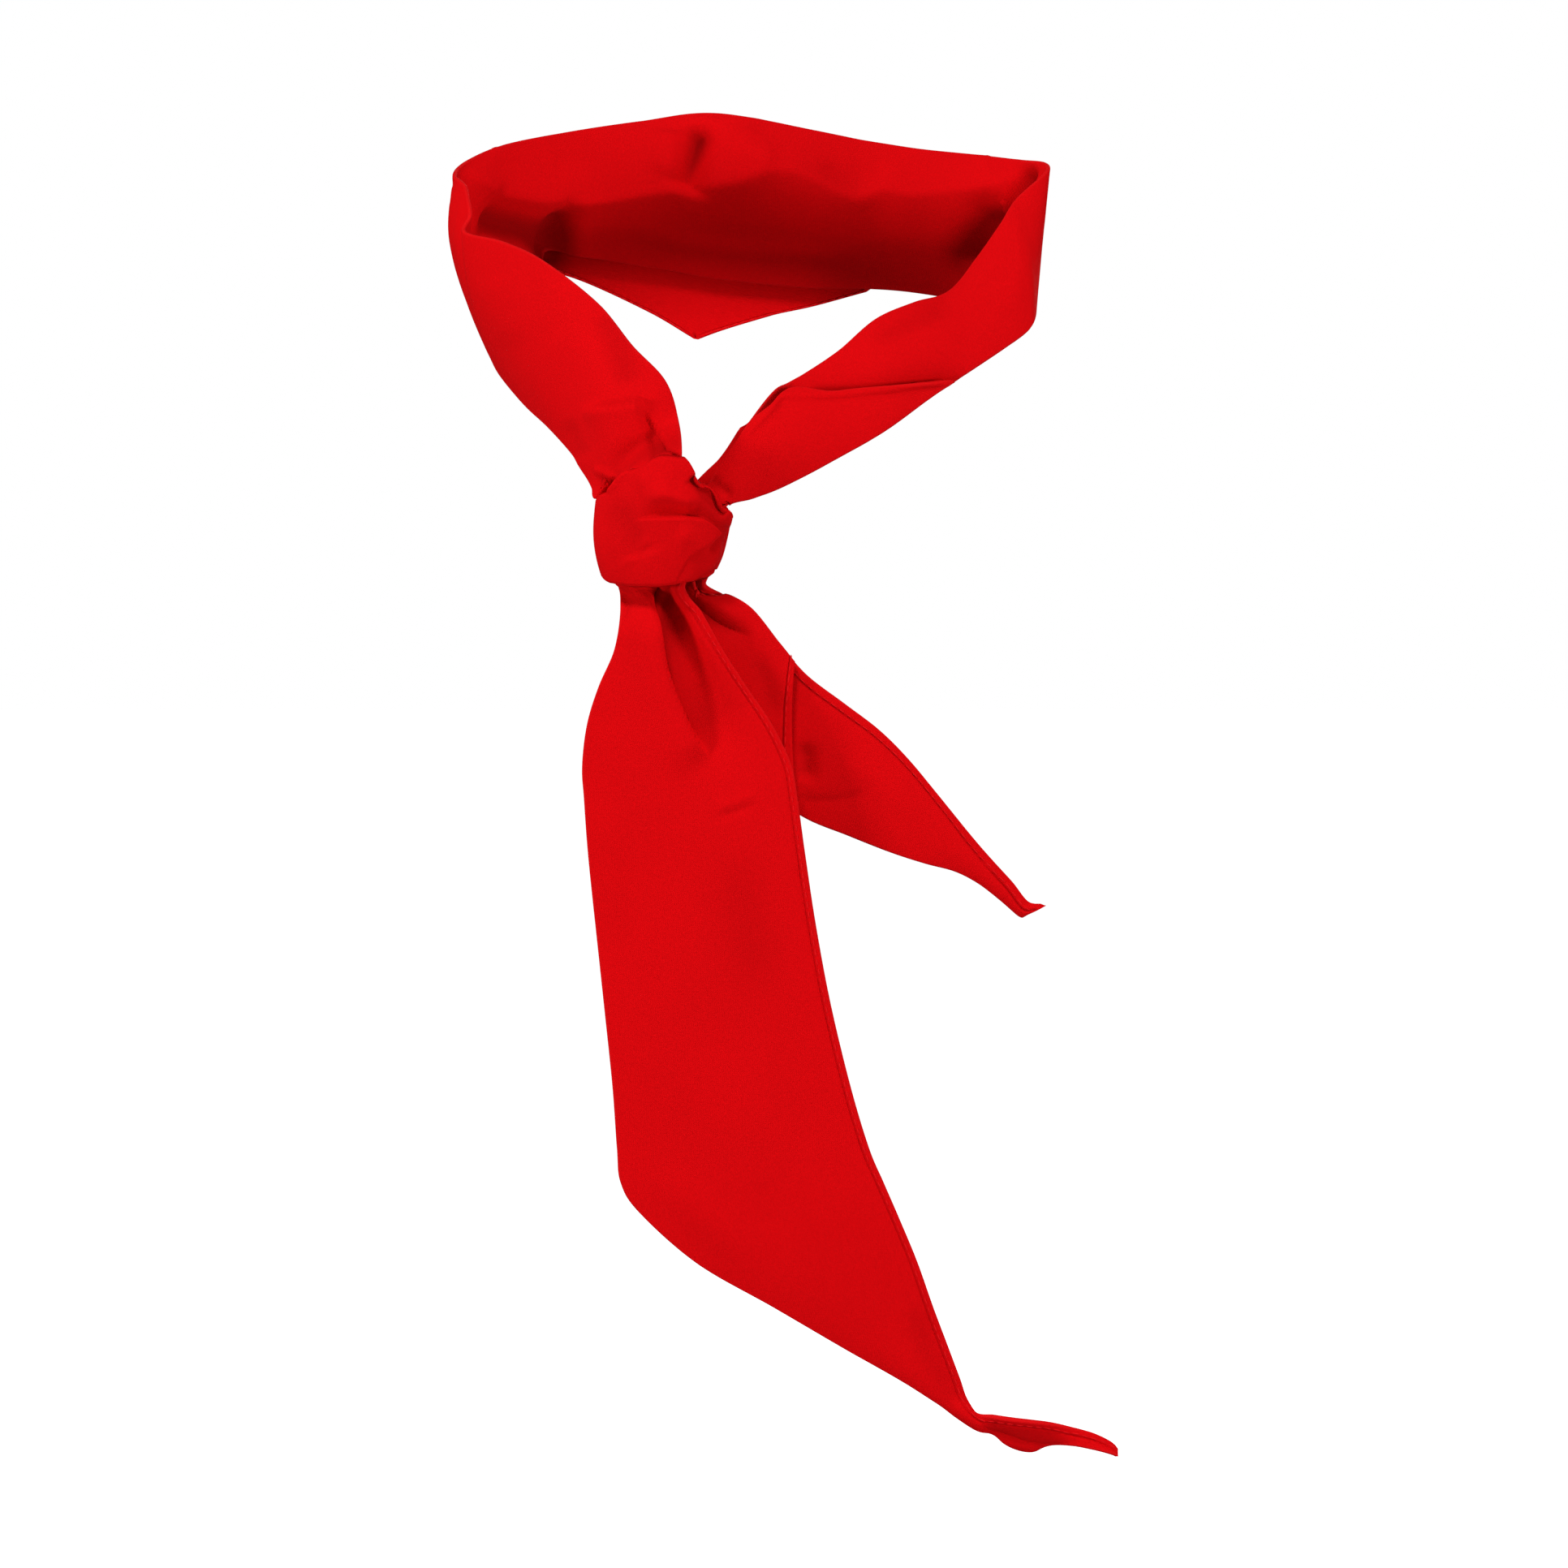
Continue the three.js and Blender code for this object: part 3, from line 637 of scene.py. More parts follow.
def cloth_mesh(name, grid, hems=None, seam_shade_depth=seam_shade_depth):
    """A closed flat tube of cloth round a grid of points."""
    points = grid["points"]
    push = normals_of(points) * wall_halves(grid, hems or {}, seam_shade_depth)[..., None]
    grid["faces"] = (points + push, points - push)
    ways = there_and_back(grid["across"], grid["across"])
    flat = np.stack([ways, np.broadcast_to(grid["way"][:, None], ways.shape)], -1)
    # Painted shade: each face is darkened by how deep it sinks in a crease and along its seam.
    front_shade = np.maximum(grid["sunk"], 0) + grid["seam"]
    back_shade = np.maximum(-grid["sunk"], 0) + grid["seam"]
    marks = {
        "edge_distance": np.minimum(ways, grid["width"][:, None] - ways),
        "painted_shade_depth": there_and_back(front_shade, back_shade),
    }
    ring = there_and_back(*grid["faces"])
    return make_object(name, ring, tube_faces(*points.shape[:2]), flat, marks)


# %% From arrays to an object
bias_turn = math.radians(45)


def make_object(name, points, faces, flat, marks):
    """A smooth mesh object, with the cloth laid out flat on the bias as UVs, in metres."""
    mesh = bpy.data.meshes.new(name)
    mesh.from_pydata(points.reshape(-1, 3).tolist(), [], faces)
    c, s = math.cos(bias_turn), math.sin(bias_turn)
    cloth = flat.reshape(-1, 2) @ np.array([[c, -s], [s, c]])
    vertex_of_corner = np.zeros(len(mesh.loops), dtype=np.int32)
    mesh.loops.foreach_get("vertex_index", vertex_of_corner)
    layer = mesh.uv_layers.new(name="cloth")
    layer.data.foreach_set("uv", cloth[vertex_of_corner].ravel())
    for label, values in marks.items():
        mark = mesh.attributes.new(label, "FLOAT", "POINT")
        mark.data.foreach_set("value", values.ravel())
    mesh.polygons.foreach_set("use_smooth", np.ones(len(mesh.polygons), dtype=bool))
    mesh.update()
    made = bpy.data.objects.new(name, mesh)
    bpy.context.scene.collection.objects.link(made)
    face_out(made)
    return made


def face_out(made):
    """Turns a closed mesh the right way round if its faces point inwards."""
    mesh = made.data
    mesh.calc_loop_triangles()
    places = np.zeros(len(mesh.vertices) * 3)
    mesh.vertices.foreach_get("co", places)
    triangles = np.zeros(len(mesh.loop_triangles) * 3, dtype=np.int32)
    mesh.loop_triangles.foreach_get("vertices", triangles)
    a, b, c = places.reshape(-1, 3)[triangles.reshape(-1, 3)].transpose(1, 0, 2)
    if np.einsum("ij,ij->i", a, np.cross(b, c)).sum() < 0:
        mesh.flip_normals()
    print(made.name, len(mesh.loop_triangles), "triangles")


# %% [markdown]
# ## Pressing the creases
#
# Most of the creases are gathers near the knot. On the band each table is pressed only
# into its own stretch, because the nape lies behind the straps in the picture. The
# places are pixels of the picture, 1932 across.

# %% Creases of the straps
left_strap_creases = {
    "ridge above the knot":
        crease([(714, 512), (738, 507), (765, 505), (794, 499)], (7, 34), 4.2, "sharp", (0.45, 0.12)),
    "lip that runs down to the knot":
        crease([(784, 497), (797, 514), (815, 536), (832, 556), (846, 576)],
               (6, 22), -1.6, "lip", (0.3, 0)),
    "dent beside the knot": crease([(742, 594), (750, 596), (758, 598)], 6, -2.2, fade=(0, 0)),
    "small ridge beside the knot":
        crease([(730, 578), (742, 581), (758, 588)], (3, 4), 1.2, "sharp", (0.3, 0.1)),
    "hollow over the knot's shoulder":
        crease([(746, 590), (764, 570), (790, 552), (816, 545)], 18, -1.6, fade=(0, 0)),
    "soft valley down the middle":
        crease([(742, 380), (762, 430), (776, 480)], 22, -1.2, fade=(0.2, 0.2)),
    "soft swell left of the valley":
        crease([(690, 400), (722, 450), (745, 490)], 26, 0.7, fade=(0.2, 0.2)),
    "dip at the outer edge":
        crease([(700, 512), (712, 545), (722, 570)], 12, -0.7, fade=(0.3, 0.3)),
    "swell near the corner": crease([(604, 330), (620, 380), (640, 430)], 24, 0.6, fade=(0.3, 0.3)),
}
right_strap_creases = {
    "swell down the right edge":
        crease([(1276, 240), (1266, 310), (1250, 380)], 16, 0.6, fade=(0.3, 0.3)),
    "valley under the upper edge":
        crease([(1180, 372), (1130, 395), (1060, 430)], 14, -0.7, fade=(0.3, 0.3)),
    "swell below that valley":
        crease([(1200, 400), (1130, 440), (1040, 466)], 22, 0.6, fade=(0.3, 0.3)),
    "dip at the knot": crease([(876, 590), (888, 602), (905, 612)], 6, -0.8, fade=(0.1, 0.3)),
    "roll of the free edge":
        crease([(1198, 474), (1145, 474), (1091, 481), (1020, 489), (966, 490), (950, 506), (912, 547)],
               (3, 12), 1.1, "sharp", (0.2, 0.1)),
}
# The front layer's free edge, from below the strap to where it enters the knot. The back
# layer dips behind it.
fold_line = [(1226, 500), (1198, 474), (1170, 470), (1145, 472), (1091, 478), (1053, 482),
             (1020, 486), (982, 482), (964, 488), (950, 504), (930, 521), (912, 545), (884, 590)]
back_layer_creases = {
    "step behind the free edge": crease(fold_line, (4, 11), -2.6, "lip", (0.2, 0.1), edge=2),
    "hollow behind the fold's end":
        crease([(970, 478), (950, 490), (930, 510), (914, 532)], 9, -3.2, fade=(0, 0.2)),
}
strap_creases = len(left_strap_creases) + len(right_strap_creases) + len(back_layer_creases)
print("creases on the straps", strap_creases)

# %% Creases across the nape
nape_fold_line = [(566, 206), (577, 219), (604, 238), (637, 247), (691, 250), (740, 247),
                  (790, 238), (840, 232), (900, 224), (960, 212), (1000, 222), (1036, 238),
                  (1062, 245), (1095, 236), (1130, 242), (1180, 238), (1225, 232), (1262, 214)]
# The sunk creases also paint shade by their depth; the pockets, the hollows and the wedge are dark
# partly from that painted shade.
nape_creases = {
    "fold all along the nape": crease(nape_fold_line, (40, 30), 4.4, "sharp", (0.09, 0.06)),
    "dent under the peak":
        crease([(867, 147), (863, 170), (854, 202), (842, 238)], (18, 18), -5.0, "soft", (0.4, 0.1)),
    "swell left of the dent":
        crease([(826, 160), (822, 190), (812, 222)], 18, 1.5, fade=(0.2, 0.3)),
    "swell right of the dent":
        crease([(905, 162), (930, 188), (960, 206)], 18, 1.4, fade=(0.2, 0.3)),
    "faint dip at the upper left":
        crease([(735, 196), (700, 200), (672, 196)], 16, -0.7, fade=(0.3, 0.3)),
    "faint dip at the upper right":
        crease([(1005, 196), (1035, 214), (1070, 220), (1110, 214)], 14, -0.9, fade=(0.3, 0.3)),
    "left pocket": crease([(690, 268), (689, 290), (687, 314)], (17, 14), -6.2, fade=(0, 0)),
    "right pocket": crease([(1222, 272), (1210, 294), (1196, 322)], (16, 24), -7.5, fade=(0, 0)),
    "hollow inside the left corner":
        crease([(586, 262), (612, 274), (644, 288), (678, 306)], 27, -4.0, fade=(0.2, 0)),
    "upper side of that hollow":
        crease([(586, 246), (612, 262), (640, 270), (668, 276)], 20, -2.4, fade=(0.2, 0)),
    "broad hollow of the lower nape":
        crease([(740, 290), (840, 304), (960, 318), (1080, 328), (1180, 318)], 44, -1.8, fade=(0, 0)),
    "hollow at the lower right":
        crease([(980, 362), (1060, 368), (1140, 372), (1200, 360)], 34, -1.2, fade=(0.3, 0)),
    "wedge down the right corner":
        crease([(1281, 203), (1268, 219), (1253, 240), (1238, 262), (1222, 284)],
               (7, 9), -4.5, fade=(0.3, 0.2)),
    "swell below the fold":
        crease([(760, 276), (850, 300), (960, 312), (1080, 316)], 14, 0.6, fade=(0.3, 0.3)),
}
print("creases on the nape", len(nape_creases))

# %% Make the band
band_grid = cloth_grid(loop_surface, 0, loop_end)
band_normals = normals_of(band_grid["points"])


def only_between(grid, start, end, blend=0.6):
    """1 on the stretch between two sections, easing to 0 past them."""
    a = grid["along"]
    return ease(a, start - blend, start + blend) * (1 - ease(a, end - blend, end + blend))


for creases, start, end, toward in (
    (left_strap_creases, -2, left_corner - 1.0, 1),
    (nape_creases, left_corner + 0.6, right_corner + 0.2, -1),
    (right_strap_creases, right_corner + 1.0, loop_end + 2, 1),
    (back_layer_creases, right_corner + 2.0, loop_end + 2, 1),
):
    weight = only_between(band_grid, start, end)
    press(band_grid, band_normals, creases, toward * weight)
band = cloth_mesh("band", band_grid)

# %% [markdown]
# ## The front layer of the right strap
#
# The band is folded over once more on the right, so a second layer lies in front of
# the strap. Its free edge climbs across the strap and runs down into the knot.

# %% Front layer of the right strap
fold_low = -0.97
fold_most = 0.86
fold_least = 0.04
reach_steps = 160
line_steps = 120
fold_steps = 500


def reach_to_line(surface, line, places, low, most):
    """How far across a surface a line of the picture lies, at places along it."""
    steps = np.linspace(low, most, reach_steps)
    a, b = np.meshgrid(places, steps, indexing="ij")
    gap, _ = distance_to(line_through(line, line_steps), seen(surface(a, b)))
    beyond = gap > 0
    beyond[:, -1] = True
    first = np.maximum(beyond.argmax(axis=1), 1)
    rows = np.arange(len(places))
    inner, outer = gap[rows, first - 1], gap[rows, first]
    return mix(steps[first - 1], steps[first], np.clip(inner / (inner - outer), 0, 1))


fold_places = np.linspace(right_corner + 1, loop_end, fold_steps)
fold_reach = reach_to_line(loop_surface, fold_line, fold_places, fold_low, fold_most)
fold_begins = fold_places[fold_reach > fold_low + fold_least][0]
strap_fold_grid = cloth_grid(
    layer_over(loop_surface, layer_step + lap_slack),
    fold_begins,
    loop_end,
    edge_at(fold_low),
    lambda a: np.interp(a, fold_places, fold_reach),
)
press(strap_fold_grid, normals_of(strap_fold_grid["points"]), right_strap_creases, 1)
strap_fold = cloth_mesh("strap_fold", strap_fold_grid)
print("front layer begins at section", round(float(fold_begins), 2), "of", loop_end)

# %% [markdown]
# ## The corner at the nape
#
# The two long folds of the triangle leave its corner free. It lies over the outside of
# the band at the nape and hangs below it, where the picture shows its point. It is
# pressed with the nape's creases too, so that the two layers keep their distance.

# %% Hanging corner
# Columns: down, left and right edge, as shares of the point's drop and of the nape.
corner_rows = (
    (1, 0.471, 0.477),
    (0.45, 0.345, 0.565),
    (0, 0.245, 0.665),
    (-0.5, 0.17, 0.77),
    (-1, 0.1, 0.86),
)
lap_top = 0.86
corner_plumb = -0.12


def hanging_nape(along, across):
    point = loop_surface(along, np.maximum(across, -1))
    below = np.minimum(across + 1, 0) * point_drop
    point[..., 2] += below
    point[..., 1] += corner_plumb * below
    return point


corner_behind = layer_step + 4 * lap_slack
corner_over = layer_over(hanging_nape, corner_behind)


def corner_surface(along, across):
    """The corner's sides are straight between its rows."""
    rows = np.array(corner_rows)
    number = np.arange(len(rows))
    down, left, right = (np.interp(along, number, column) for column in rows.T)
    share = mix(left, right, (across + 1) / 2)
    height = np.where(down > 0, -1 - down, mix(-1, lap_top, -down))
    return corner_over(mix(nape_start, right_corner, share), height)


corner_grid = cloth_grid(corner_surface, 0, len(corner_rows) - 1)
press(corner_grid, normals_of(corner_grid["points"]), nape_creases, 1, ahead=corner_behind)
corner = cloth_mesh("corner", corner_grid, {"low": tail_hem, "top": tail_hem})

# %% [markdown]
# ## The long tail
#
# The long tail leaves the knot gathered, with a deep pleat whose left lip stands
# forward, and opens into a flat strip. Its left edge is a fold and its right edge is
# the sewn hem of the triangle. Its lower edge slants to a thin end that is twisted.

# %% Long tail and its twisted end
# Columns: left out, left down, right out, right down, pleat.
long_tail_rows = (
    (-0.192, 0.03, 0.162, 0.03, 0.9),
    (-0.216, 0.075, 0.262, 0.078, 0.85),
    (-0.287, 0.12, 0.375, 0.125, 0.7),
    (-0.338, 0.165, 0.475, 0.166, 0.45),
    (-0.36, 0.215, 0.558, 0.214, 0.2),
    (-0.352, 0.255, 0.585, 0.255, 0.06),
    (-0.335, 0.32, 0.618, 0.32, 0),
    (-0.304, 0.405, 0.665, 0.405, 0),
    (-0.268, 0.5, 0.73, 0.5, 0),
    (-0.231, 0.6, 0.818, 0.6, 0),
    (-0.212, 0.675, 0.9, 0.675, 0),
    (-0.196, 0.717, 0.965, 0.717, 0),
    (-0.115, 0.753, 1.03, 0.758, 0),
    (0.14, 0.815, 1.112, 0.812, 0),
    (0.475, 0.868, 1.183, 0.867, 0),
    (0.78, 0.917, 1.242, 0.91, 0),
    (1.08, 0.964, 1.304, 0.955, 0),
    (1.35, 1.014, 1.357, 0.993, 0),
)
# Columns: along the end, low, top, turn.
twisted_end_rows = (
    (0.14, 0.66, -0.03, 0.2),
    (0.28, 1.05, 0.04, 0.32),
    (0.4, 1.18, 0.1, 0.3),
    (0.54, 1.0, 0.2, 0.15),
    (0.68, 0.95, 0.36, 0),
    (0.83, 1.05, 0.57, -0.1),
    (0.95, 1.17, 0.87, -0.15),
    (1, 1.24, 1.19, -0.15),
)
lower_rim = knot_middle[2] - knot_height / 2
tail_bow = -1.5 * MM


def long_tail_point(out, down):
    x = knot_middle[0] + out * long_tail_width
    y = knot_middle[1] - long_tail_forward
    return np.array([x, y, lower_rim - down * long_tail_length])


def twist_point(along, below, turn):
    neck = long_tail_point(long_tail_rows[-1][2], 1)
    step = (along * twist_length, turn * twist_width, -below * twist_width)
    return neck + np.array(step)


long_tail_sections = knot_sections(long_tail_turns, "bottom", tail_bow)
for left, left_down, right, right_down, pleat in long_tail_rows:
    edges = (*long_tail_point(left, left_down), *long_tail_point(right, right_down))
    long_tail_sections.append([*edges, tail_bow, 0])
for along, low, top, turn in twisted_end_rows:
    edges = (*twist_point(along, low, turn), *twist_point(along, top, -turn))
    long_tail_sections.append([*edges, 0, 0])
long_tail_free = surface_through(long_tail_sections)
long_tail_hanging = leaving_knot(long_tail_free, long_tail_turns, "bottom")
pleats = [1, 1, *[row[4] for row in long_tail_rows], *[0] * len(twisted_end_rows)]
pleat_across = 0.34
pleat_half_width = 0.3


def long_tail_surface(along, across):
    hanging = long_tail_hanging(along, across)
    point = np.where((along < 2)[..., None], hanging, long_tail_free(along, across))
    depth = smooth_through(np.array(pleats)[:, None], np.maximum(along, 0))[..., 0]
    offset = (across - pleat_across) / pleat_half_width
    point[..., 1] += pleat_depth * depth * np.exp(-(offset**2))
    return point


print("sections of the long tail", len(long_tail_sections))

# %% Creases of the long tail
long_tail_creases = {
    "lip of the main pleat":
        crease([(882, 946), (863, 921), (850, 899), (837, 869), (828, 846), (820, 819), (813, 776),
                (808, 745), (806, 716)],
               50, -2.6, "lip", (0.3, 0), grow=0.2, edge=2),
    "bulge beside the lip":
        crease([(877, 938), (860, 918), (847, 897), (834, 867), (825, 844), (817, 817), (810, 774),
                (805, 743)],
               (38, 3), 2.4, "soft", (0.2, 0.2)),
    "gather right of the pleat":
        crease([(822, 716), (824, 760), (832, 800), (848, 842)], 6, -1.6, "soft", (0, 0.5), grow=2),
    "gather in the pleat's mouth":
        crease([(805, 716), (808, 740), (811, 768)], 3.5, -1.2, "soft", (0, 0.4)),
    "gather on the left": crease([(770, 716), (772, 750), (766, 790)], 8, -0.7, "soft", (0, 0.5)),
    "raised gather on the right":
        crease([(842, 716), (852, 745), (872, 790), (900, 842)], 9, 0.9, "soft", (0.3, 0.4)),
    "small crease below the pleat":
        crease([(880, 1006), (905, 999), (936, 986)], 6, -0.5, fade=(0.3, 0.3)),
    "ridge over the small crease":
        crease([(880, 997), (906, 990), (936, 977)], 7, 0.45, fade=(0.3, 0.3)),
    "swell down the left side":
        crease([(742, 960), (748, 1060), (760, 1180)], 22, 0.7, fade=(0.4, 0.4)),
    "valley down the middle":
        crease([(900, 1040), (925, 1150), (950, 1260)], 34, -0.8, fade=(0.4, 0.4)),
    "swell along the lower edge":
        crease([(800, 1430), (870, 1500), (960, 1560)], 26, 0.8, fade=(0.4, 0.4)),
    "valley above the twisted end":
        crease([(1125, 1600), (1150, 1680), (1185, 1740)], 16, -0.9, fade=(0.3, 0.2)),
    "crease along the twisted end":
        crease([(1204, 1756), (1236, 1766), (1268, 1777), (1300, 1779), (1330, 1774)],
               (5, 9), -0.9, "sharp", (0.2, 0.3)),
    "roll of the twisted end":
        crease([(1225, 1770), (1255, 1781), (1285, 1785)], 5, 0.7, fade=(0.2, 0.2)),
}
print("creases on the long tail", len(long_tail_creases))

# %% Make the long tail
long_tail_grid = cloth_grid(long_tail_surface, 0, len(long_tail_sections) - 1)
press(long_tail_grid, normals_of(long_tail_grid["points"]), long_tail_creases, -1)
long_tail = cloth_mesh("long_tail_cloth", long_tail_grid, {"top": tail_hem})

# %% [markdown]
# ## The short tail
#
# The other end goes down to the right behind the long tail. It is folded in two: the
# front layer ends early at a free hem, and the back one goes on to a small dog-ear.
# Both layers take the same creases, the front one as far ahead as it lies.

# %% Short tail
# Columns: upper edge out and down, lower edge out and down, back.
short_tail_rows = (
    (0.15, 0.028, 0.05, 0.1, 1),
    (0.225, 0.072, 0.08, 0.25, 1.1),
    (0.3, 0.175, 0.16, 0.43, 1.2),
    (0.372, 0.27, 0.25, 0.6, 1.3),
    (0.47, 0.355, 0.362, 0.695, 1.4),
    (0.56, 0.433, 0.48, 0.752, 1.6),
    (0.635, 0.518, 0.592, 0.803, 1.8),
    (0.713, 0.625, 0.685, 0.838, 2),
    (0.803, 0.752, 0.763, 0.862, 2.2),
    (0.86, 0.828, 0.825, 0.898, 2.3),
    (0.913, 0.895, 0.883, 0.948, 2.4),
    (0.957, 0.957, 0.93, 0.994, 2.5),
    (1.006, 0.966, 0.944, 1, 2.5),
)


def short_tail_point(out, down, back):
    x = knot_middle[0] + out * short_tail_spread
    y = knot_middle[1] + back * short_tail_back
    return (x, y, lower_rim - down * short_tail_length)


short_tail_sections = knot_sections(short_tail_turns, "bottom", tail_bow)
for up, up_down, low, low_down, back in short_tail_rows:
    edges = (*short_tail_point(low, low_down, back), *short_tail_point(up, up_down, back))
    short_tail_sections.append([*edges, tail_bow, 0])
short_tail_free = surface_through(short_tail_sections)
short_tail_hanging = leaving_knot(short_tail_free, short_tail_turns, "bottom")


def short_tail_surface(along, across):
    hanging = short_tail_hanging(along, across)
    return np.where((along < 2)[..., None], hanging, short_tail_free(along, across))


print("sections of the short tail", len(short_tail_sections))

# %% Creases of the short tail
short_tail_creases = {
    "gather under the knot":
        crease([(850, 728), (862, 748), (882, 765), (908, 778), (934, 785)],
               (7, 10), -2.4, "sharp", (0.15, 0.4)),
    "ridge over the gather":
        crease([(846, 716), (866, 735), (890, 752), (918, 765)], 7, 1.2, fade=(0.35, 0.4)),
    "crease beside the long tail":
        crease([(980, 984), (1010, 985), (1042, 982), (1083, 964)], (4, 8), -0.7, "sharp", (0.2, 0.3)),
    "hollow beside the long tail":
        crease([(990, 910), (994, 940), (990, 965)], 12, -1.6, fade=(0.3, 0.3)),
    "dip in the front layer":
        crease([(930, 800), (945, 850), (958, 890)], 12, -0.6, fade=(0.3, 0.3)),
    "swell down the middle":
        crease([(1030, 930), (1080, 960), (1140, 1010)], 20, 0.6, fade=(0.3, 0.3)),
}
print("creases on the short tail", len(short_tail_creases))

# %% Make the short tail
short_tail_grid = cloth_grid(short_tail_surface, 0, len(short_tail_sections) - 1)
press(short_tail_grid, normals_of(short_tail_grid["points"]), short_tail_creases, -1)
short_tail = cloth_mesh(
    "short_tail_cloth", short_tail_grid, {"top": short_hem}, deep_seam_shade_depth
)

# %% Front layer of the short tail
fold_end_low = 5.9
fold_end_top = 4.55
fold_edge = 0.98
fold_row_spacing = 0.4 * MM
fold_ahead = layer_step + 2 * lap_slack
short_over = layer_over(short_tail_surface, -fold_ahead)


def short_fold_surface(along, across):
    share = (across + 1) / 2
    return short_over(along * mix(fold_end_low, fold_end_top, share), across)


short_fold_grid = cloth_grid(
    short_fold_surface, 0, 1, top=edge_at(fold_edge), spacing=fold_row_spacing
)
short_fold_normals = normals_of(short_fold_grid["points"])
press(short_fold_grid, short_fold_normals, short_tail_creases, -1, ahead=fold_ahead)
short_fold = cloth_mesh("short_fold", short_fold_grid, {"end": strip_hem}, deep_seam_shade_depth)

# %% [markdown]
# ## The knot
#
# The wrap is wound cloth: one wide turn whose folds all run to the right side, where
# it is pulled under. It is a ring with rounded rims, pressed like the rest, but only on
# the side that faces us, and never through its own wall.

# %% Creases of the knot
middle_fold = [(776, 642), (798, 638), (825, 637), (850, 637), (868, 640), (882, 650), (893, 664)]
knot_creases = {
    "sunk side of the middle fold":
        crease(middle_fold[::-1], (3, 17), -2.6, "lip", (0, 0.3), edge=2),
    "raised side of the middle fold": crease(middle_fold, (3, 30), 1.9, "lip", (0.3, 0.1), edge=2),
    "bulge above the middle fold":
        crease([(786, 617), (818, 611), (844, 617), (864, 630)], 13, 2.4, fade=(0.3, 0.3)),
    "slanted crease at the upper right":
        crease([(850, 588), (858, 598), (869, 611), (883, 623), (901, 634)],
               (14, 4), -2.6, "sharp", (0.1, 0.1)),
    "ridge beside that crease":
        crease([(868, 590), (884, 606), (896, 620)], (4, 5), 1.2, "sharp", (0.2, 0.2)),
    "pinch at the right side": crease([(880, 676), (890, 664), (900, 656)], 6, -1.6, fade=(0, 0)),
    "tuck at the lower right":
        crease([(902, 668), (900, 690), (888, 708), (872, 720)], 12, -2.0, fade=(0, 0)),
    "flattened left side": crease([(768, 640), (780, 662), (790, 690)], 22, -1.1, fade=(0, 0.2)),
    "faint ridge at the lower left":
        crease([(768, 700), (784, 680), (802, 657)], 6, 0.4, fade=(0.3, 0.3)),
    "swell below the middle fold":
        crease([(830, 655), (856, 664), (872, 684)], 16, 1.0, fade=(0.3, 0.3)),
    "roll of the upper left rim":
        crease([(745, 606), (756, 597), (764, 586), (778, 570), (806, 558)], 5, 0.7, fade=(0.1, 0.3)),
    "swell at the top": crease([(780, 600), (806, 592), (836, 600)], 14, 0.8, fade=(0.3, 0.3)),
}
print("creases on the knot", len(knot_creases))

# %% Ring of the wrap
turn_count = 420
rise_count = 90
rim_rounding = 1.2 * MM
thinnest_wrap = 0.4 * MM


def knot_ring():
    """The wrap's points, a row for each turn, inside and out, and how deep each may sink."""
    turns = np.linspace(-180, 180, turn_count, endpoint=False)[:, None]
    bottom = rim_height(turns, "bottom")
    top = rim_height(turns, "top")
    share = np.linspace(0, 1, rise_count + 1)[None, :]
    height = mix(bottom, top, share)
    rim = np.minimum(share, 1 - share) * (top - bottom)
    full = np.sqrt(np.clip(1 - (1 - np.clip(rim / rim_rounding, 0, 1)) ** 2, 0, 1))
    inner = bundle_point(turns, height, bundle_wall / 2 + touch_gap)
    outer = bundle_point(turns, height, bundle_wall / 2 + touch_gap + wrap_wall * full)
    deepest = np.minimum(thinnest_wrap - wrap_wall * full, 0)
    return turns, height, inner, outer, deepest


knot_turns, knot_heights, knot_inner, knot_outer, knot_deepest = knot_ring()
knot_steps = np.roll(knot_outer, -1, 0) - np.roll(knot_outer, 1, 0)
knot_normals = unit(np.cross(knot_steps, np.gradient(knot_outer, axis=1)))
facing = ease(-knot_normals[..., 1], -0.5, 0)
knot_grid = {"points": knot_outer, "sunk": np.zeros(knot_outer.shape[:2])}
press(knot_grid, knot_normals, knot_creases, facing, knot_deepest)

# %% Make the knot
far_from_edge = 5 * MM


def knot_mesh(name):
    """The ring of the wrap, closed round the knot and round its wall."""
    ring = there_and_back(knot_grid["points"], knot_inner)
    rows, count = ring.shape[:2]
    index = np.arange(rows * count).reshape(rows, count)
    there = np.roll(index, -1, 0)
    quads = np.stack([index, np.roll(index, -1, 1), np.roll(there, -1, 1), there], -1)
    heights = there_and_back(knot_heights, knot_heights)
    girth = np.radians(knot_turns) * knot_width / 2
    flat = np.stack([heights, np.broadcast_to(girth, heights.shape)], -1)
    marks = {
        "edge_distance": np.full((rows, count), far_from_edge),
        # Painted shade, on the outer face only, by how deep the wrap's creases sink it.
        "painted_shade_depth": there_and_back(knot_grid["sunk"], 0 * knot_grid["sunk"]),
    }
    return make_object(name, ring, quads.reshape(-1, 4).tolist(), flat, marks)


knot = knot_mesh("knot")

# %% [markdown]
# ## Cotton
#
# The cloth is a plain weave of fine thread, dyed in the piece: matt, a little uneven and
# paler where an edge has rubbed. Its colour is also painted darker in the depth of a fold
# and along the seams, as painted shade. It could be a picture of cloth wrapped round the
# pieces, but nodes keep the thread at its real size on every piece. One node group makes
# the weave from the cloth's flat layout, another the dye, the wear and the painted shade,
# and both go into one material.

# %% Node helpers


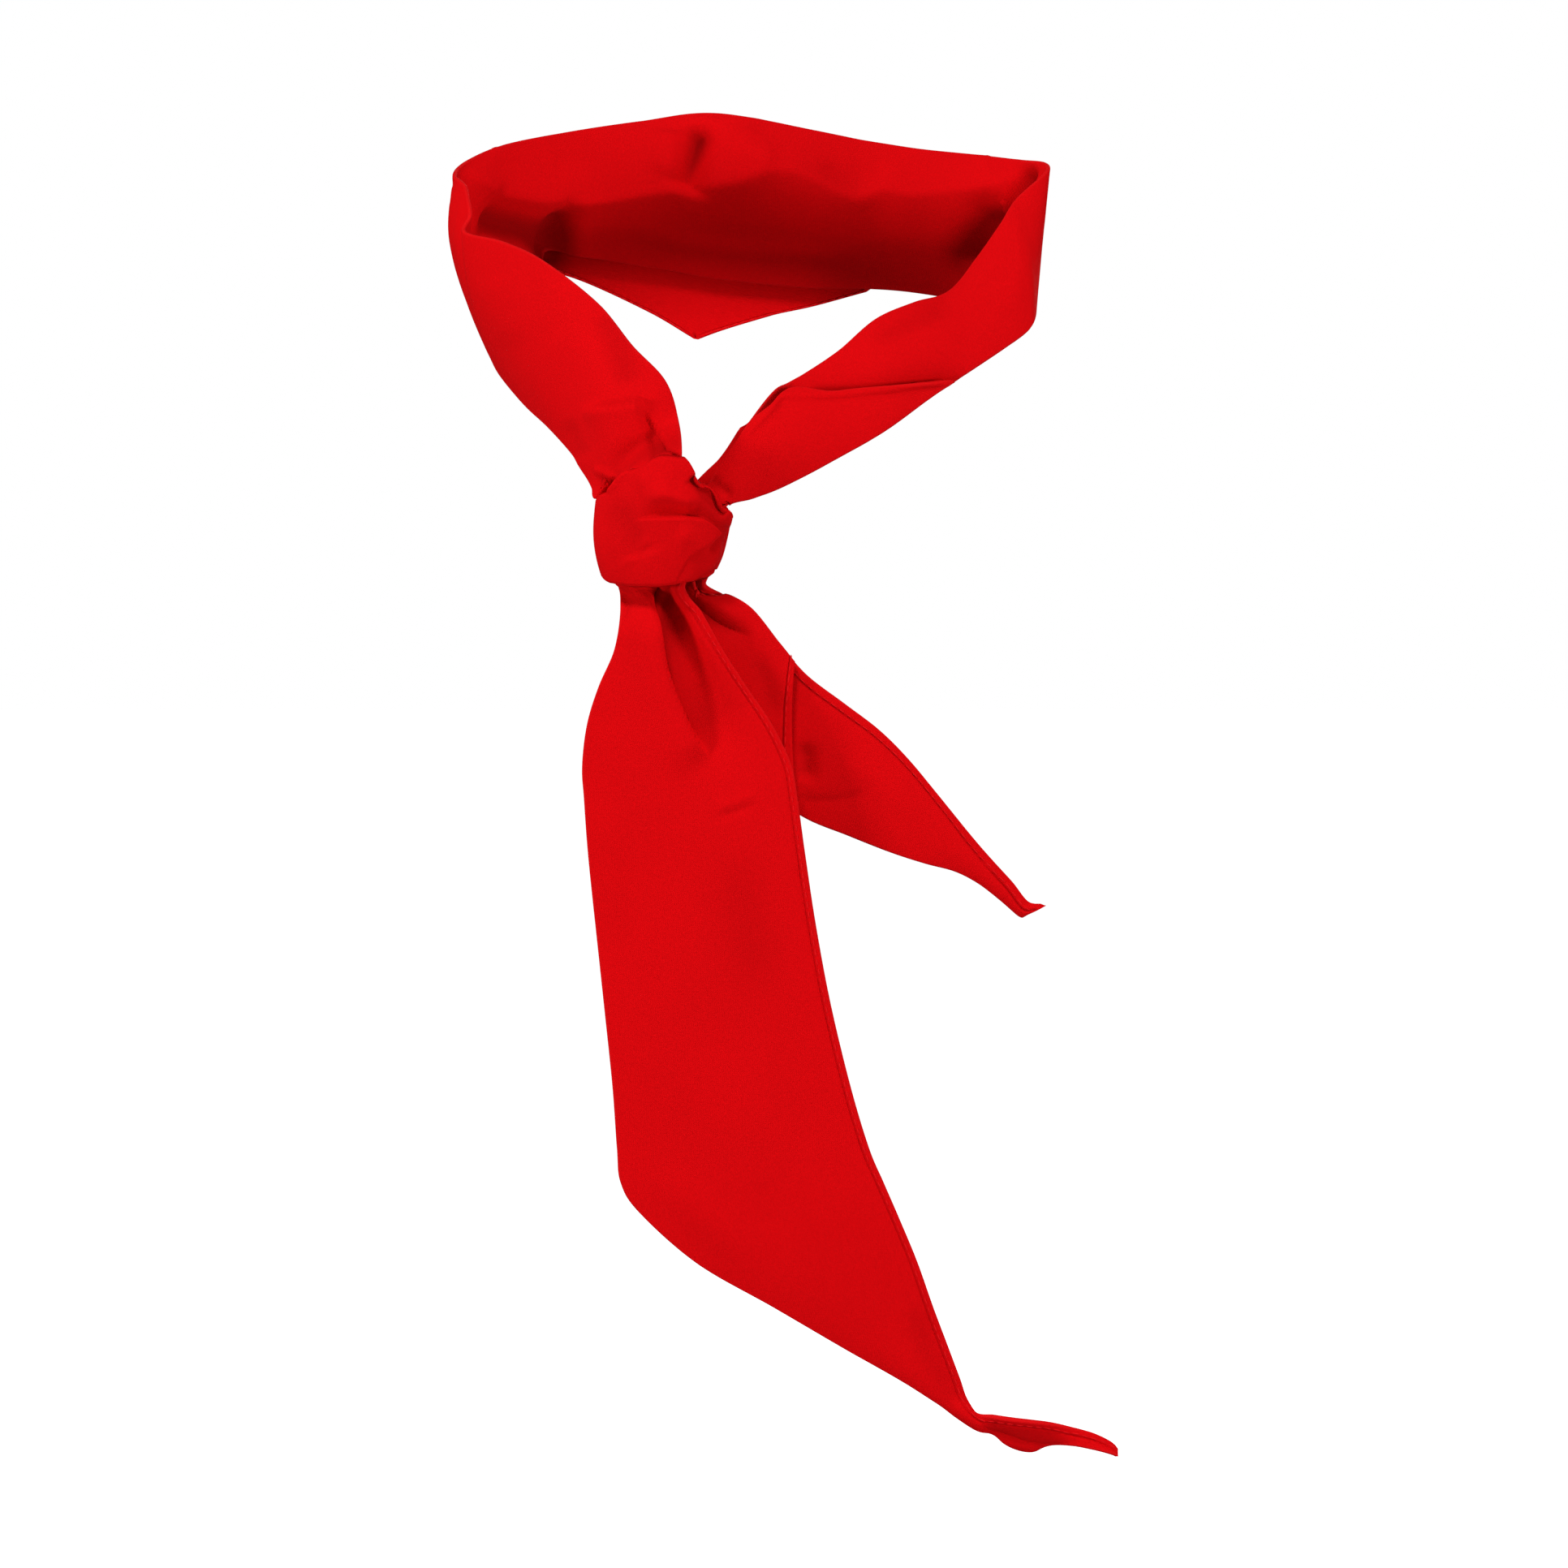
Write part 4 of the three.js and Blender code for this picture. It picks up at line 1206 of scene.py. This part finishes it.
def new_group(name, inputs, outputs, kind="ShaderNodeTree"):
    """A node group with named sockets, and its input and output nodes."""
    tree = bpy.data.node_groups.new(name, kind)
    for label, socket_kind, value in inputs:
        socket = tree.interface.new_socket(label, in_out="INPUT", socket_type=socket_kind)
        if value is not None:
            socket.default_value = value
    for label, socket_kind in outputs:
        tree.interface.new_socket(label, in_out="OUTPUT", socket_type=socket_kind)
    return tree, tree.nodes.new("NodeGroupInput"), tree.nodes.new("NodeGroupOutput")


def new_node(tree, kind, values=None, setup=None, **links):
    """A node with its settings, values for some inputs, and sockets linked to others."""
    made = tree.nodes.new(kind)
    for label, value in (setup or {}).items():
        setattr(made, label, value)
    for label, value in (values or {}).items():
        made.inputs[label].default_value = value
    for label, socket in links.items():
        tree.links.new(socket, made.inputs[label.replace("_", " ")])
    return made


def scaled(tree, vector, factor):
    """A vector times a factor."""
    setup = {"operation": "SCALE"}
    return new_node(tree, "ShaderNodeVectorMath", None, setup, Vector=vector, Scale=factor).outputs[0]


def math_node(tree, operation, *values):
    """A Math node whose inputs are numbers or other sockets."""
    made = new_node(tree, "ShaderNodeMath", setup={"operation": operation})
    for socket, value in zip(made.inputs, values):
        if isinstance(value, (int, float)):
            socket.default_value = value
        else:
            tree.links.new(value, socket)
    return made.outputs[0]


# %% Plain weave group
weave_tree, weave_in, weave_out = new_group(
    "plain_weave",
    [("Cloth", "NodeSocketVector", None), ("Thread Pitch", "NodeSocketFloat", 0.45 * MM)],
    [("Height", "NodeSocketFloat"), ("Slub", "NodeSocketFloat")],
)
per_thread = math_node(weave_tree, "DIVIDE", 1.0, weave_in.outputs["Thread Pitch"])
in_threads = scaled(weave_tree, weave_in.outputs["Cloth"], per_thread)
thread_number = new_node(weave_tree, "ShaderNodeSeparateXYZ", Vector=in_threads).outputs


def thread_profile(number):
    """The rise of a round thread, from 0 at its sides to 1 on top."""
    turn = math_node(weave_tree, "MULTIPLY", number, math.pi)
    return math_node(weave_tree, "ABSOLUTE", math_node(weave_tree, "SINE", turn))


whole_threads = [math_node(weave_tree, "FLOOR", thread_number[axis]) for axis in "XY"]
over_under = math_node(
    weave_tree, "FLOORED_MODULO", math_node(weave_tree, "ADD", *whole_threads), 2.0
)
weave_height = new_node(
    weave_tree,
    "ShaderNodeMix",
    Factor=over_under,
    A=thread_profile(thread_number["X"]),
    B=thread_profile(thread_number["Y"]),
)
weave_tree.links.new(weave_height.outputs["Result"], weave_out.inputs["Height"])
slub = {"Scale": 0.55, "Detail": 3, "Roughness": 0.7}
slub_noise = new_node(weave_tree, "ShaderNodeTexNoise", slub, Vector=in_threads)
weave_tree.links.new(slub_noise.outputs["Fac"], weave_out.inputs["Slub"])
print("weave group", len(weave_tree.nodes), "nodes")

# %% Dye, wear and painted shade group
rubbed_from = 0.9 * MM
rubbed_full = 0.1 * MM
rubbed_most = 0.35
least_rough = 0.72
slub_rough = 0.2
dye_and_shade_tree, dye_and_shade_in, dye_and_shade_out = new_group(
    "dye_wear_and_painted_shade",
    [
        ("Dye", "NodeSocketColor", (0.74, 0.0016, 0.0035, 1)),
        ("Worn", "NodeSocketColor", (0.8, 0.012, 0.014, 1)),
        ("Slub", "NodeSocketFloat", 0.5),
        ("Edge Distance", "NodeSocketFloat", 1.0),
        ("Place", "NodeSocketVector", None),
        ("Slub Tone", "NodeSocketFloat", 0.3),
        ("Patch Tone", "NodeSocketFloat", 0.12),
        ("Fold Depth", "NodeSocketFloat", 0.0),
        ("Full Depth", "NodeSocketFloat", 4 * MM),
        ("Fold Shade", "NodeSocketFloat", 0.5),
    ],
    [("Colour", "NodeSocketColor"), ("Roughness", "NodeSocketFloat")],
)
given = dye_and_shade_in.outputs


def around_zero(value, tone):
    """A noise of 0 to 1 as a change of tone, up or down."""
    centred = math_node(dye_and_shade_tree, "SUBTRACT", value, 0.5)
    return math_node(dye_and_shade_tree, "MULTIPLY", centred, tone)


patches = new_node(
    dye_and_shade_tree, "ShaderNodeTexNoise", {"Scale": 35, "Detail": 2}, Vector=given["Place"]
)
uneven = around_zero(given["Slub"], given["Slub Tone"])
patch = around_zero(patches.outputs["Fac"], given["Patch Tone"])
tone = math_node(dye_and_shade_tree, "ADD", 1.0, math_node(dye_and_shade_tree, "ADD", uneven, patch))
# Painted shade: the colour darkens with the depth of a fold or seam, by up to Fold Shade at Full Depth.
shade_share = math_node(dye_and_shade_tree, "DIVIDE", given["Fold Depth"], given["Full Depth"])
shade_share = math_node(dye_and_shade_tree, "MINIMUM", shade_share, 1.0)
painted_fold_shade = math_node(dye_and_shade_tree, "MULTIPLY", shade_share, given["Fold Shade"])
tone = math_node(dye_and_shade_tree, "MULTIPLY", tone, math_node(dye_and_shade_tree, "SUBTRACT", 1.0, painted_fold_shade))
rubbed = new_node(
    dye_and_shade_tree,
    "ShaderNodeMapRange",
    {"From Min": rubbed_from, "From Max": rubbed_full, "To Max": rubbed_most},
    Value=given["Edge Distance"],
)
worn_mix = new_node(
    dye_and_shade_tree, "ShaderNodeMix", setup={"data_type": "RGBA"}, Factor=rubbed.outputs["Result"]
)
dye_and_shade_tree.links.new(scaled(dye_and_shade_tree, given["Dye"], tone), worn_mix.inputs[6])
dye_and_shade_tree.links.new(given["Worn"], worn_mix.inputs[7])
dye_and_shade_tree.links.new(worn_mix.outputs[2], dye_and_shade_out.inputs["Colour"])
rough = math_node(dye_and_shade_tree, "MULTIPLY_ADD", given["Slub"], slub_rough, least_rough)
dye_and_shade_tree.links.new(rough, dye_and_shade_out.inputs["Roughness"])
print("dye group", len(dye_and_shade_tree.nodes), "nodes")

# %% Cotton material
thread_relief = 0.08 * MM
matt_finish = {
    "Specular IOR Level": 0.03,
    "Sheen Weight": 0.05,
    "Sheen Roughness": 0.5,
    "Sheen Tint": (1.0, 0.03, 0.03, 1),
}


def cotton(name, dye, slub_tone, bump):
    """A woven cotton of a given dye, with its slub and the strength of its weave, and painted shade in
    deep folds and along seams.
    """
    made = bpy.data.materials.new(name)
    made.use_nodes = True
    tree = made.node_tree
    layout = new_node(tree, "ShaderNodeUVMap", setup={"uv_map": "cloth"})
    place = new_node(tree, "ShaderNodeTexCoord")
    edge = new_node(tree, "ShaderNodeAttribute", setup={"attribute_name": "edge_distance"})
    # The depth mark that paints shade into deep folds and seams.
    fold = new_node(tree, "ShaderNodeAttribute", setup={"attribute_name": "painted_shade_depth"})
    weave = new_node(
        tree, "ShaderNodeGroup", setup={"node_tree": weave_tree}, Cloth=layout.outputs["UV"]
    )
    dyed = new_node(
        tree,
        "ShaderNodeGroup",
        {"Dye": (*dye, 1), "Slub Tone": slub_tone},
        {"node_tree": dye_and_shade_tree},
        Slub=weave.outputs["Slub"],
        Edge_Distance=edge.outputs["Fac"],
        Fold_Depth=fold.outputs["Fac"],
        Place=place.outputs["Object"],
    )
    relief = {"Strength": bump, "Distance": thread_relief}
    raised = new_node(tree, "ShaderNodeBump", relief, Height=weave.outputs["Height"])
    shader = tree.nodes["Principled BSDF"]
    for label, value in matt_finish.items():
        shader.inputs[label].default_value = value
    tree.links.new(dyed.outputs["Colour"], shader.inputs["Base Color"])
    tree.links.new(dyed.outputs["Roughness"], shader.inputs["Roughness"])
    tree.links.new(raised.outputs["Normal"], shader.inputs["Normal"])
    return made


red_cotton = cotton("red_cotton", (0.74, 0.0016, 0.0035), 0.35, 0.6)
sewing_thread = cotton("sewing_thread", (0.8, 0.006, 0.01), 0.1, 0.2)
cloth_pieces = [band, strap_fold, corner, long_tail, short_tail, short_fold, knot]
for piece in cloth_pieces:
    piece.data.materials.append(red_cotton)
print("cotton on", len(cloth_pieces), "pieces")

# %% [markdown]
# ## Hem stitches
#
# Each hem is held by a line of small machine stitches, the same one again and again
# along a line, so a Geometry Nodes tree lays them. Its inputs are named sizes, and its
# result is turned into plain meshes: one for each hemmed piece, on both of its faces.

# %% Stitch tree
stitch_tree, stitch_in, stitch_out = new_group(
    "hem_stitches",
    [
        ("Geometry", "NodeSocketGeometry", None),
        ("Pitch", "NodeSocketFloat", None),
        ("Stitch Length", "NodeSocketFloat", None),
        ("Thread Radius", "NodeSocketFloat", None),
        ("Thread", "NodeSocketMaterial", None),
    ],
    [("Geometry", "NodeSocketGeometry")],
    "GeometryNodeTree",
)
sizes = stitch_in.outputs
line_curve = new_node(stitch_tree, "GeometryNodeMeshToCurve", Mesh=sizes["Geometry"])
places = new_node(
    stitch_tree,
    "GeometryNodeCurveToPoints",
    setup={"mode": "LENGTH"},
    Curve=line_curve.outputs["Curve"],
    Length=sizes["Pitch"],
)
lie_along = new_node(
    stitch_tree,
    "FunctionNodeAlignRotationToVector",
    setup={"axis": "Z"},
    Vector=places.outputs["Tangent"],
)
half_length = math_node(stitch_tree, "MULTIPLY", sizes["Stitch Length"], 0.5)
stitch_scale = new_node(
    stitch_tree,
    "ShaderNodeCombineXYZ",
    X=sizes["Thread Radius"],
    Y=sizes["Thread Radius"],
    Z=half_length,
)
shortest, longest = 2, 3
uneven_length = new_node(
    stitch_tree,
    "FunctionNodeRandomValue",
    {shortest: 0.85, longest: 1.1, "Seed": 7},
    {"data_type": "FLOAT"},
)
bead = new_node(
    stitch_tree, "GeometryNodeMeshUVSphere", {"Segments": 8, "Rings": 6, "Radius": 1.0}
)
smooth_bead = new_node(
    stitch_tree, "GeometryNodeSetShadeSmooth", Geometry=bead.outputs["Mesh"]
)
laid = new_node(
    stitch_tree,
    "GeometryNodeInstanceOnPoints",
    Points=places.outputs["Points"],
    Instance=smooth_bead.outputs["Geometry"],
    Rotation=lie_along.outputs["Rotation"],
    Scale=scaled(stitch_tree, stitch_scale.outputs[0], uneven_length.outputs[1]),
)
real = new_node(
    stitch_tree, "GeometryNodeRealizeInstances", Geometry=laid.outputs["Instances"]
)
threaded = new_node(
    stitch_tree,
    "GeometryNodeSetMaterial",
    Geometry=real.outputs["Geometry"],
    Material=sizes["Thread"],
)
stitch_tree.links.new(threaded.outputs["Geometry"], stitch_out.inputs["Geometry"])
print("stitch tree", len(stitch_tree.nodes), "nodes")

# %% Sew the hems
stitch_sizes = {
    "Pitch": 2.9 * MM,
    "Stitch Length": 2.3 * MM,
    "Thread Radius": 0.17 * MM,
    "Thread": sewing_thread,
}
hem_end_margin = 3


def hem_lines(grid, side, inset):
    """The lines of stitches inside a hemmed edge, on both faces of the cloth."""
    distance = edge_distances(grid)[side]
    if side == "end":
        face_rows = [face.transpose(1, 0, 2) for face in grid["faces"]]
        distance = distance.T
    else:
        face_rows = grid["faces"]
    nearest = np.abs(distance - inset).argmin(axis=1)
    rows = np.arange(len(nearest))[hem_end_margin:-hem_end_margin]
    return [face[rows, nearest[rows]] for face in face_rows]


def sew(name, grid, hems):
    """A piece of stitches along every hem of a cloth piece."""
    points, edges = [], []
    for side, width in hems.items():
        for line in hem_lines(grid, side, width - seam_width):
            first = len(points)
            points += line.tolist()
            edges += [(k, k + 1) for k in range(first, len(points) - 1)]
    mesh = bpy.data.meshes.new(name)
    mesh.from_pydata(points, edges, [])
    made = bpy.data.objects.new(name, mesh)
    bpy.context.scene.collection.objects.link(made)
    modifier = made.modifiers.new("stitches", "NODES")
    modifier.node_group = stitch_tree
    for socket in stitch_tree.interface.items_tree:
        if socket.in_out == "INPUT" and socket.name in stitch_sizes:
            modifier[socket.identifier] = stitch_sizes[socket.name]
    shown = made.evaluated_get(bpy.context.evaluated_depsgraph_get())
    sewn = bpy.data.meshes.new_from_object(shown)
    made.modifiers.clear()
    made.data = sewn
    print(name, len(sewn.polygons), "faces")
    return made


long_tail_stitches = sew("long_tail_stitches", long_tail_grid, {"top": tail_hem})
short_tail_stitches = sew("short_tail_stitches", short_tail_grid, {"top": short_hem})
short_fold_stitches = sew("short_fold_stitches", short_fold_grid, {"end": strip_hem})
corner_stitches = sew("corner_stitches", corner_grid, {"low": tail_hem, "top": tail_hem})
sewn_pieces = [long_tail_stitches, short_tail_stitches, short_fold_stitches, corner_stitches]

# %% [markdown]
# ## Stage and light
#
# The picture is lit from the front and above, and from both sides, on pure white. The
# side lights stand at the height of the loop, so they reach the straps and the tails but
# hardly the inside of the nape, which darkens it; painted shade in its creases darkens it
# further. A light behind shows the back.
# The floor lies far below, so the cloth throws no clear shadow on it, and the world is
# white to the camera but dim as a light, so the folds keep their shade.

# %% Floor
floor_drop = 350 * MM
floor_half = 6.0
floor_z = cad_box[0][2] - floor_drop
floor_mesh = bpy.data.meshes.new("floor")
floor_corners = [(-floor_half, -floor_half), (floor_half, -floor_half)]
floor_corners += [(floor_half, floor_half), (-floor_half, floor_half)]
floor_mesh.from_pydata([(x, y, floor_z) for x, y in floor_corners], [], [(0, 1, 2, 3)])
floor = bpy.data.objects.new("floor", floor_mesh)
bpy.context.scene.collection.objects.link(floor)
floor_paint = bpy.data.materials.new("pale_floor")
floor_paint.use_nodes = True
floor_shader = floor_paint.node_tree.nodes["Principled BSDF"]
floor_shader.inputs["Base Color"].default_value = (0.3, 0.3, 0.3, 1)
floor_shader.inputs["Roughness"].default_value = 0.9
floor_shader.inputs["Emission Color"].default_value = (1, 1, 1, 1)
floor_seen = floor_paint.node_tree.nodes.new("ShaderNodeLightPath")
floor_paint.node_tree.links.new(
    floor_seen.outputs["Is Camera Ray"], floor_shader.inputs["Emission Strength"]
)
floor_mesh.materials.append(floor_paint)
print("floor at", round(floor_z / MM), "mm")

# %% Lights
light_target = Vector((0, -60 * MM, -120 * MM))


def area_light(name, place, size, power):
    """A soft square light, with its size in metres and its power in watts."""
    data = bpy.data.lights.new(name, "AREA")
    data.shape = "SQUARE"
    data.size = size
    data.energy = power
    made = bpy.data.objects.new(name, data)
    made.location = place
    made.rotation_mode = "QUATERNION"
    made.rotation_quaternion = (light_target - Vector(place)).to_track_quat("-Z", "Y")
    bpy.context.scene.collection.objects.link(made)


area_light("key_light", (-0.5, -1.4, 1.85), 0.45, 33)
area_light("left_light", (-1.6, -1.0, -0.12), 0.35, 16)
area_light("right_light", (1.6, -1.1, -0.14), 0.4, 17)
area_light("back_light", (0.5, 2.0, 0.7), 0.6, 22)
print("lights", len(bpy.data.lights))

# %% World
dim_sky = 0.12
world = bpy.data.worlds.new("studio")
bpy.context.scene.world = world
world.use_nodes = True
sky = world.node_tree.nodes["Background"]
sky.inputs["Color"].default_value = (1, 1, 1, 1)
camera_ray = world.node_tree.nodes.new("ShaderNodeLightPath")
brightness = math_node(
    world.node_tree, "MULTIPLY_ADD", camera_ray.outputs["Is Camera Ray"], 1 - dim_sky, dim_sky
)
world.node_tree.links.new(brightness, sky.inputs["Strength"])
bpy.context.scene.view_settings.view_transform = "Standard"
print("sky as a light", dim_sky)

# %% [markdown]
# ## Fastening the pieces to the frame
#
# Each visible piece takes the place of the plain solids that it was modelled round. It
# rides on the one body, and its flat size is worked out from the grid it was laid out
# on and printed.

# %% Replace and ride
for piece, nodes in (
    (band, ("left_strap", "back_band", "right_strap")),
    (strap_fold, ("right_strap_fold",)),
    (corner, ("back_point",)),
    (long_tail, ("long_tail",)),
    (short_tail, ("short_tail",)),
    (short_fold, ("short_tail_fold",)),
    (knot, ("knot_wrap",)),
):
    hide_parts(*nodes)
for piece in cloth_pieces + sewn_pieces:
    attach(piece, "root")
print("riding on the root:", len(cloth_pieces + sewn_pieces), "pieces")


def flat_size(grid):
    """A sheet's widest width, its length and its flat area."""
    widths, way = grid["width"], grid["way"]
    area = float(np.sum((widths[1:] + widths[:-1]) / 2 * np.diff(way)))
    return (float(widths.max()), float(way[-1])), area


for piece, grid, held, rests_on, stitches in (
    (band, band_grid, "folded", [], []),
    (strap_fold, strap_fold_grid, "folded", ["band"], []),
    (corner, corner_grid, "hung", ["band"], [corner_stitches]),
    (long_tail, long_tail_grid, "hung", ["knot"], [long_tail_stitches]),
    (short_tail, short_tail_grid, "hung", ["knot"], [short_tail_stitches]),
    (short_fold, short_fold_grid, "folded", ["short_tail_cloth"], [short_fold_stitches]),
):
    flat, area = flat_size(grid)
    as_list(rests_on)
    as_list(stitches)
    print(piece.name, "flat", [round(x / MM) for x in flat], "mm, area", round(area * 1e4), "cm2")
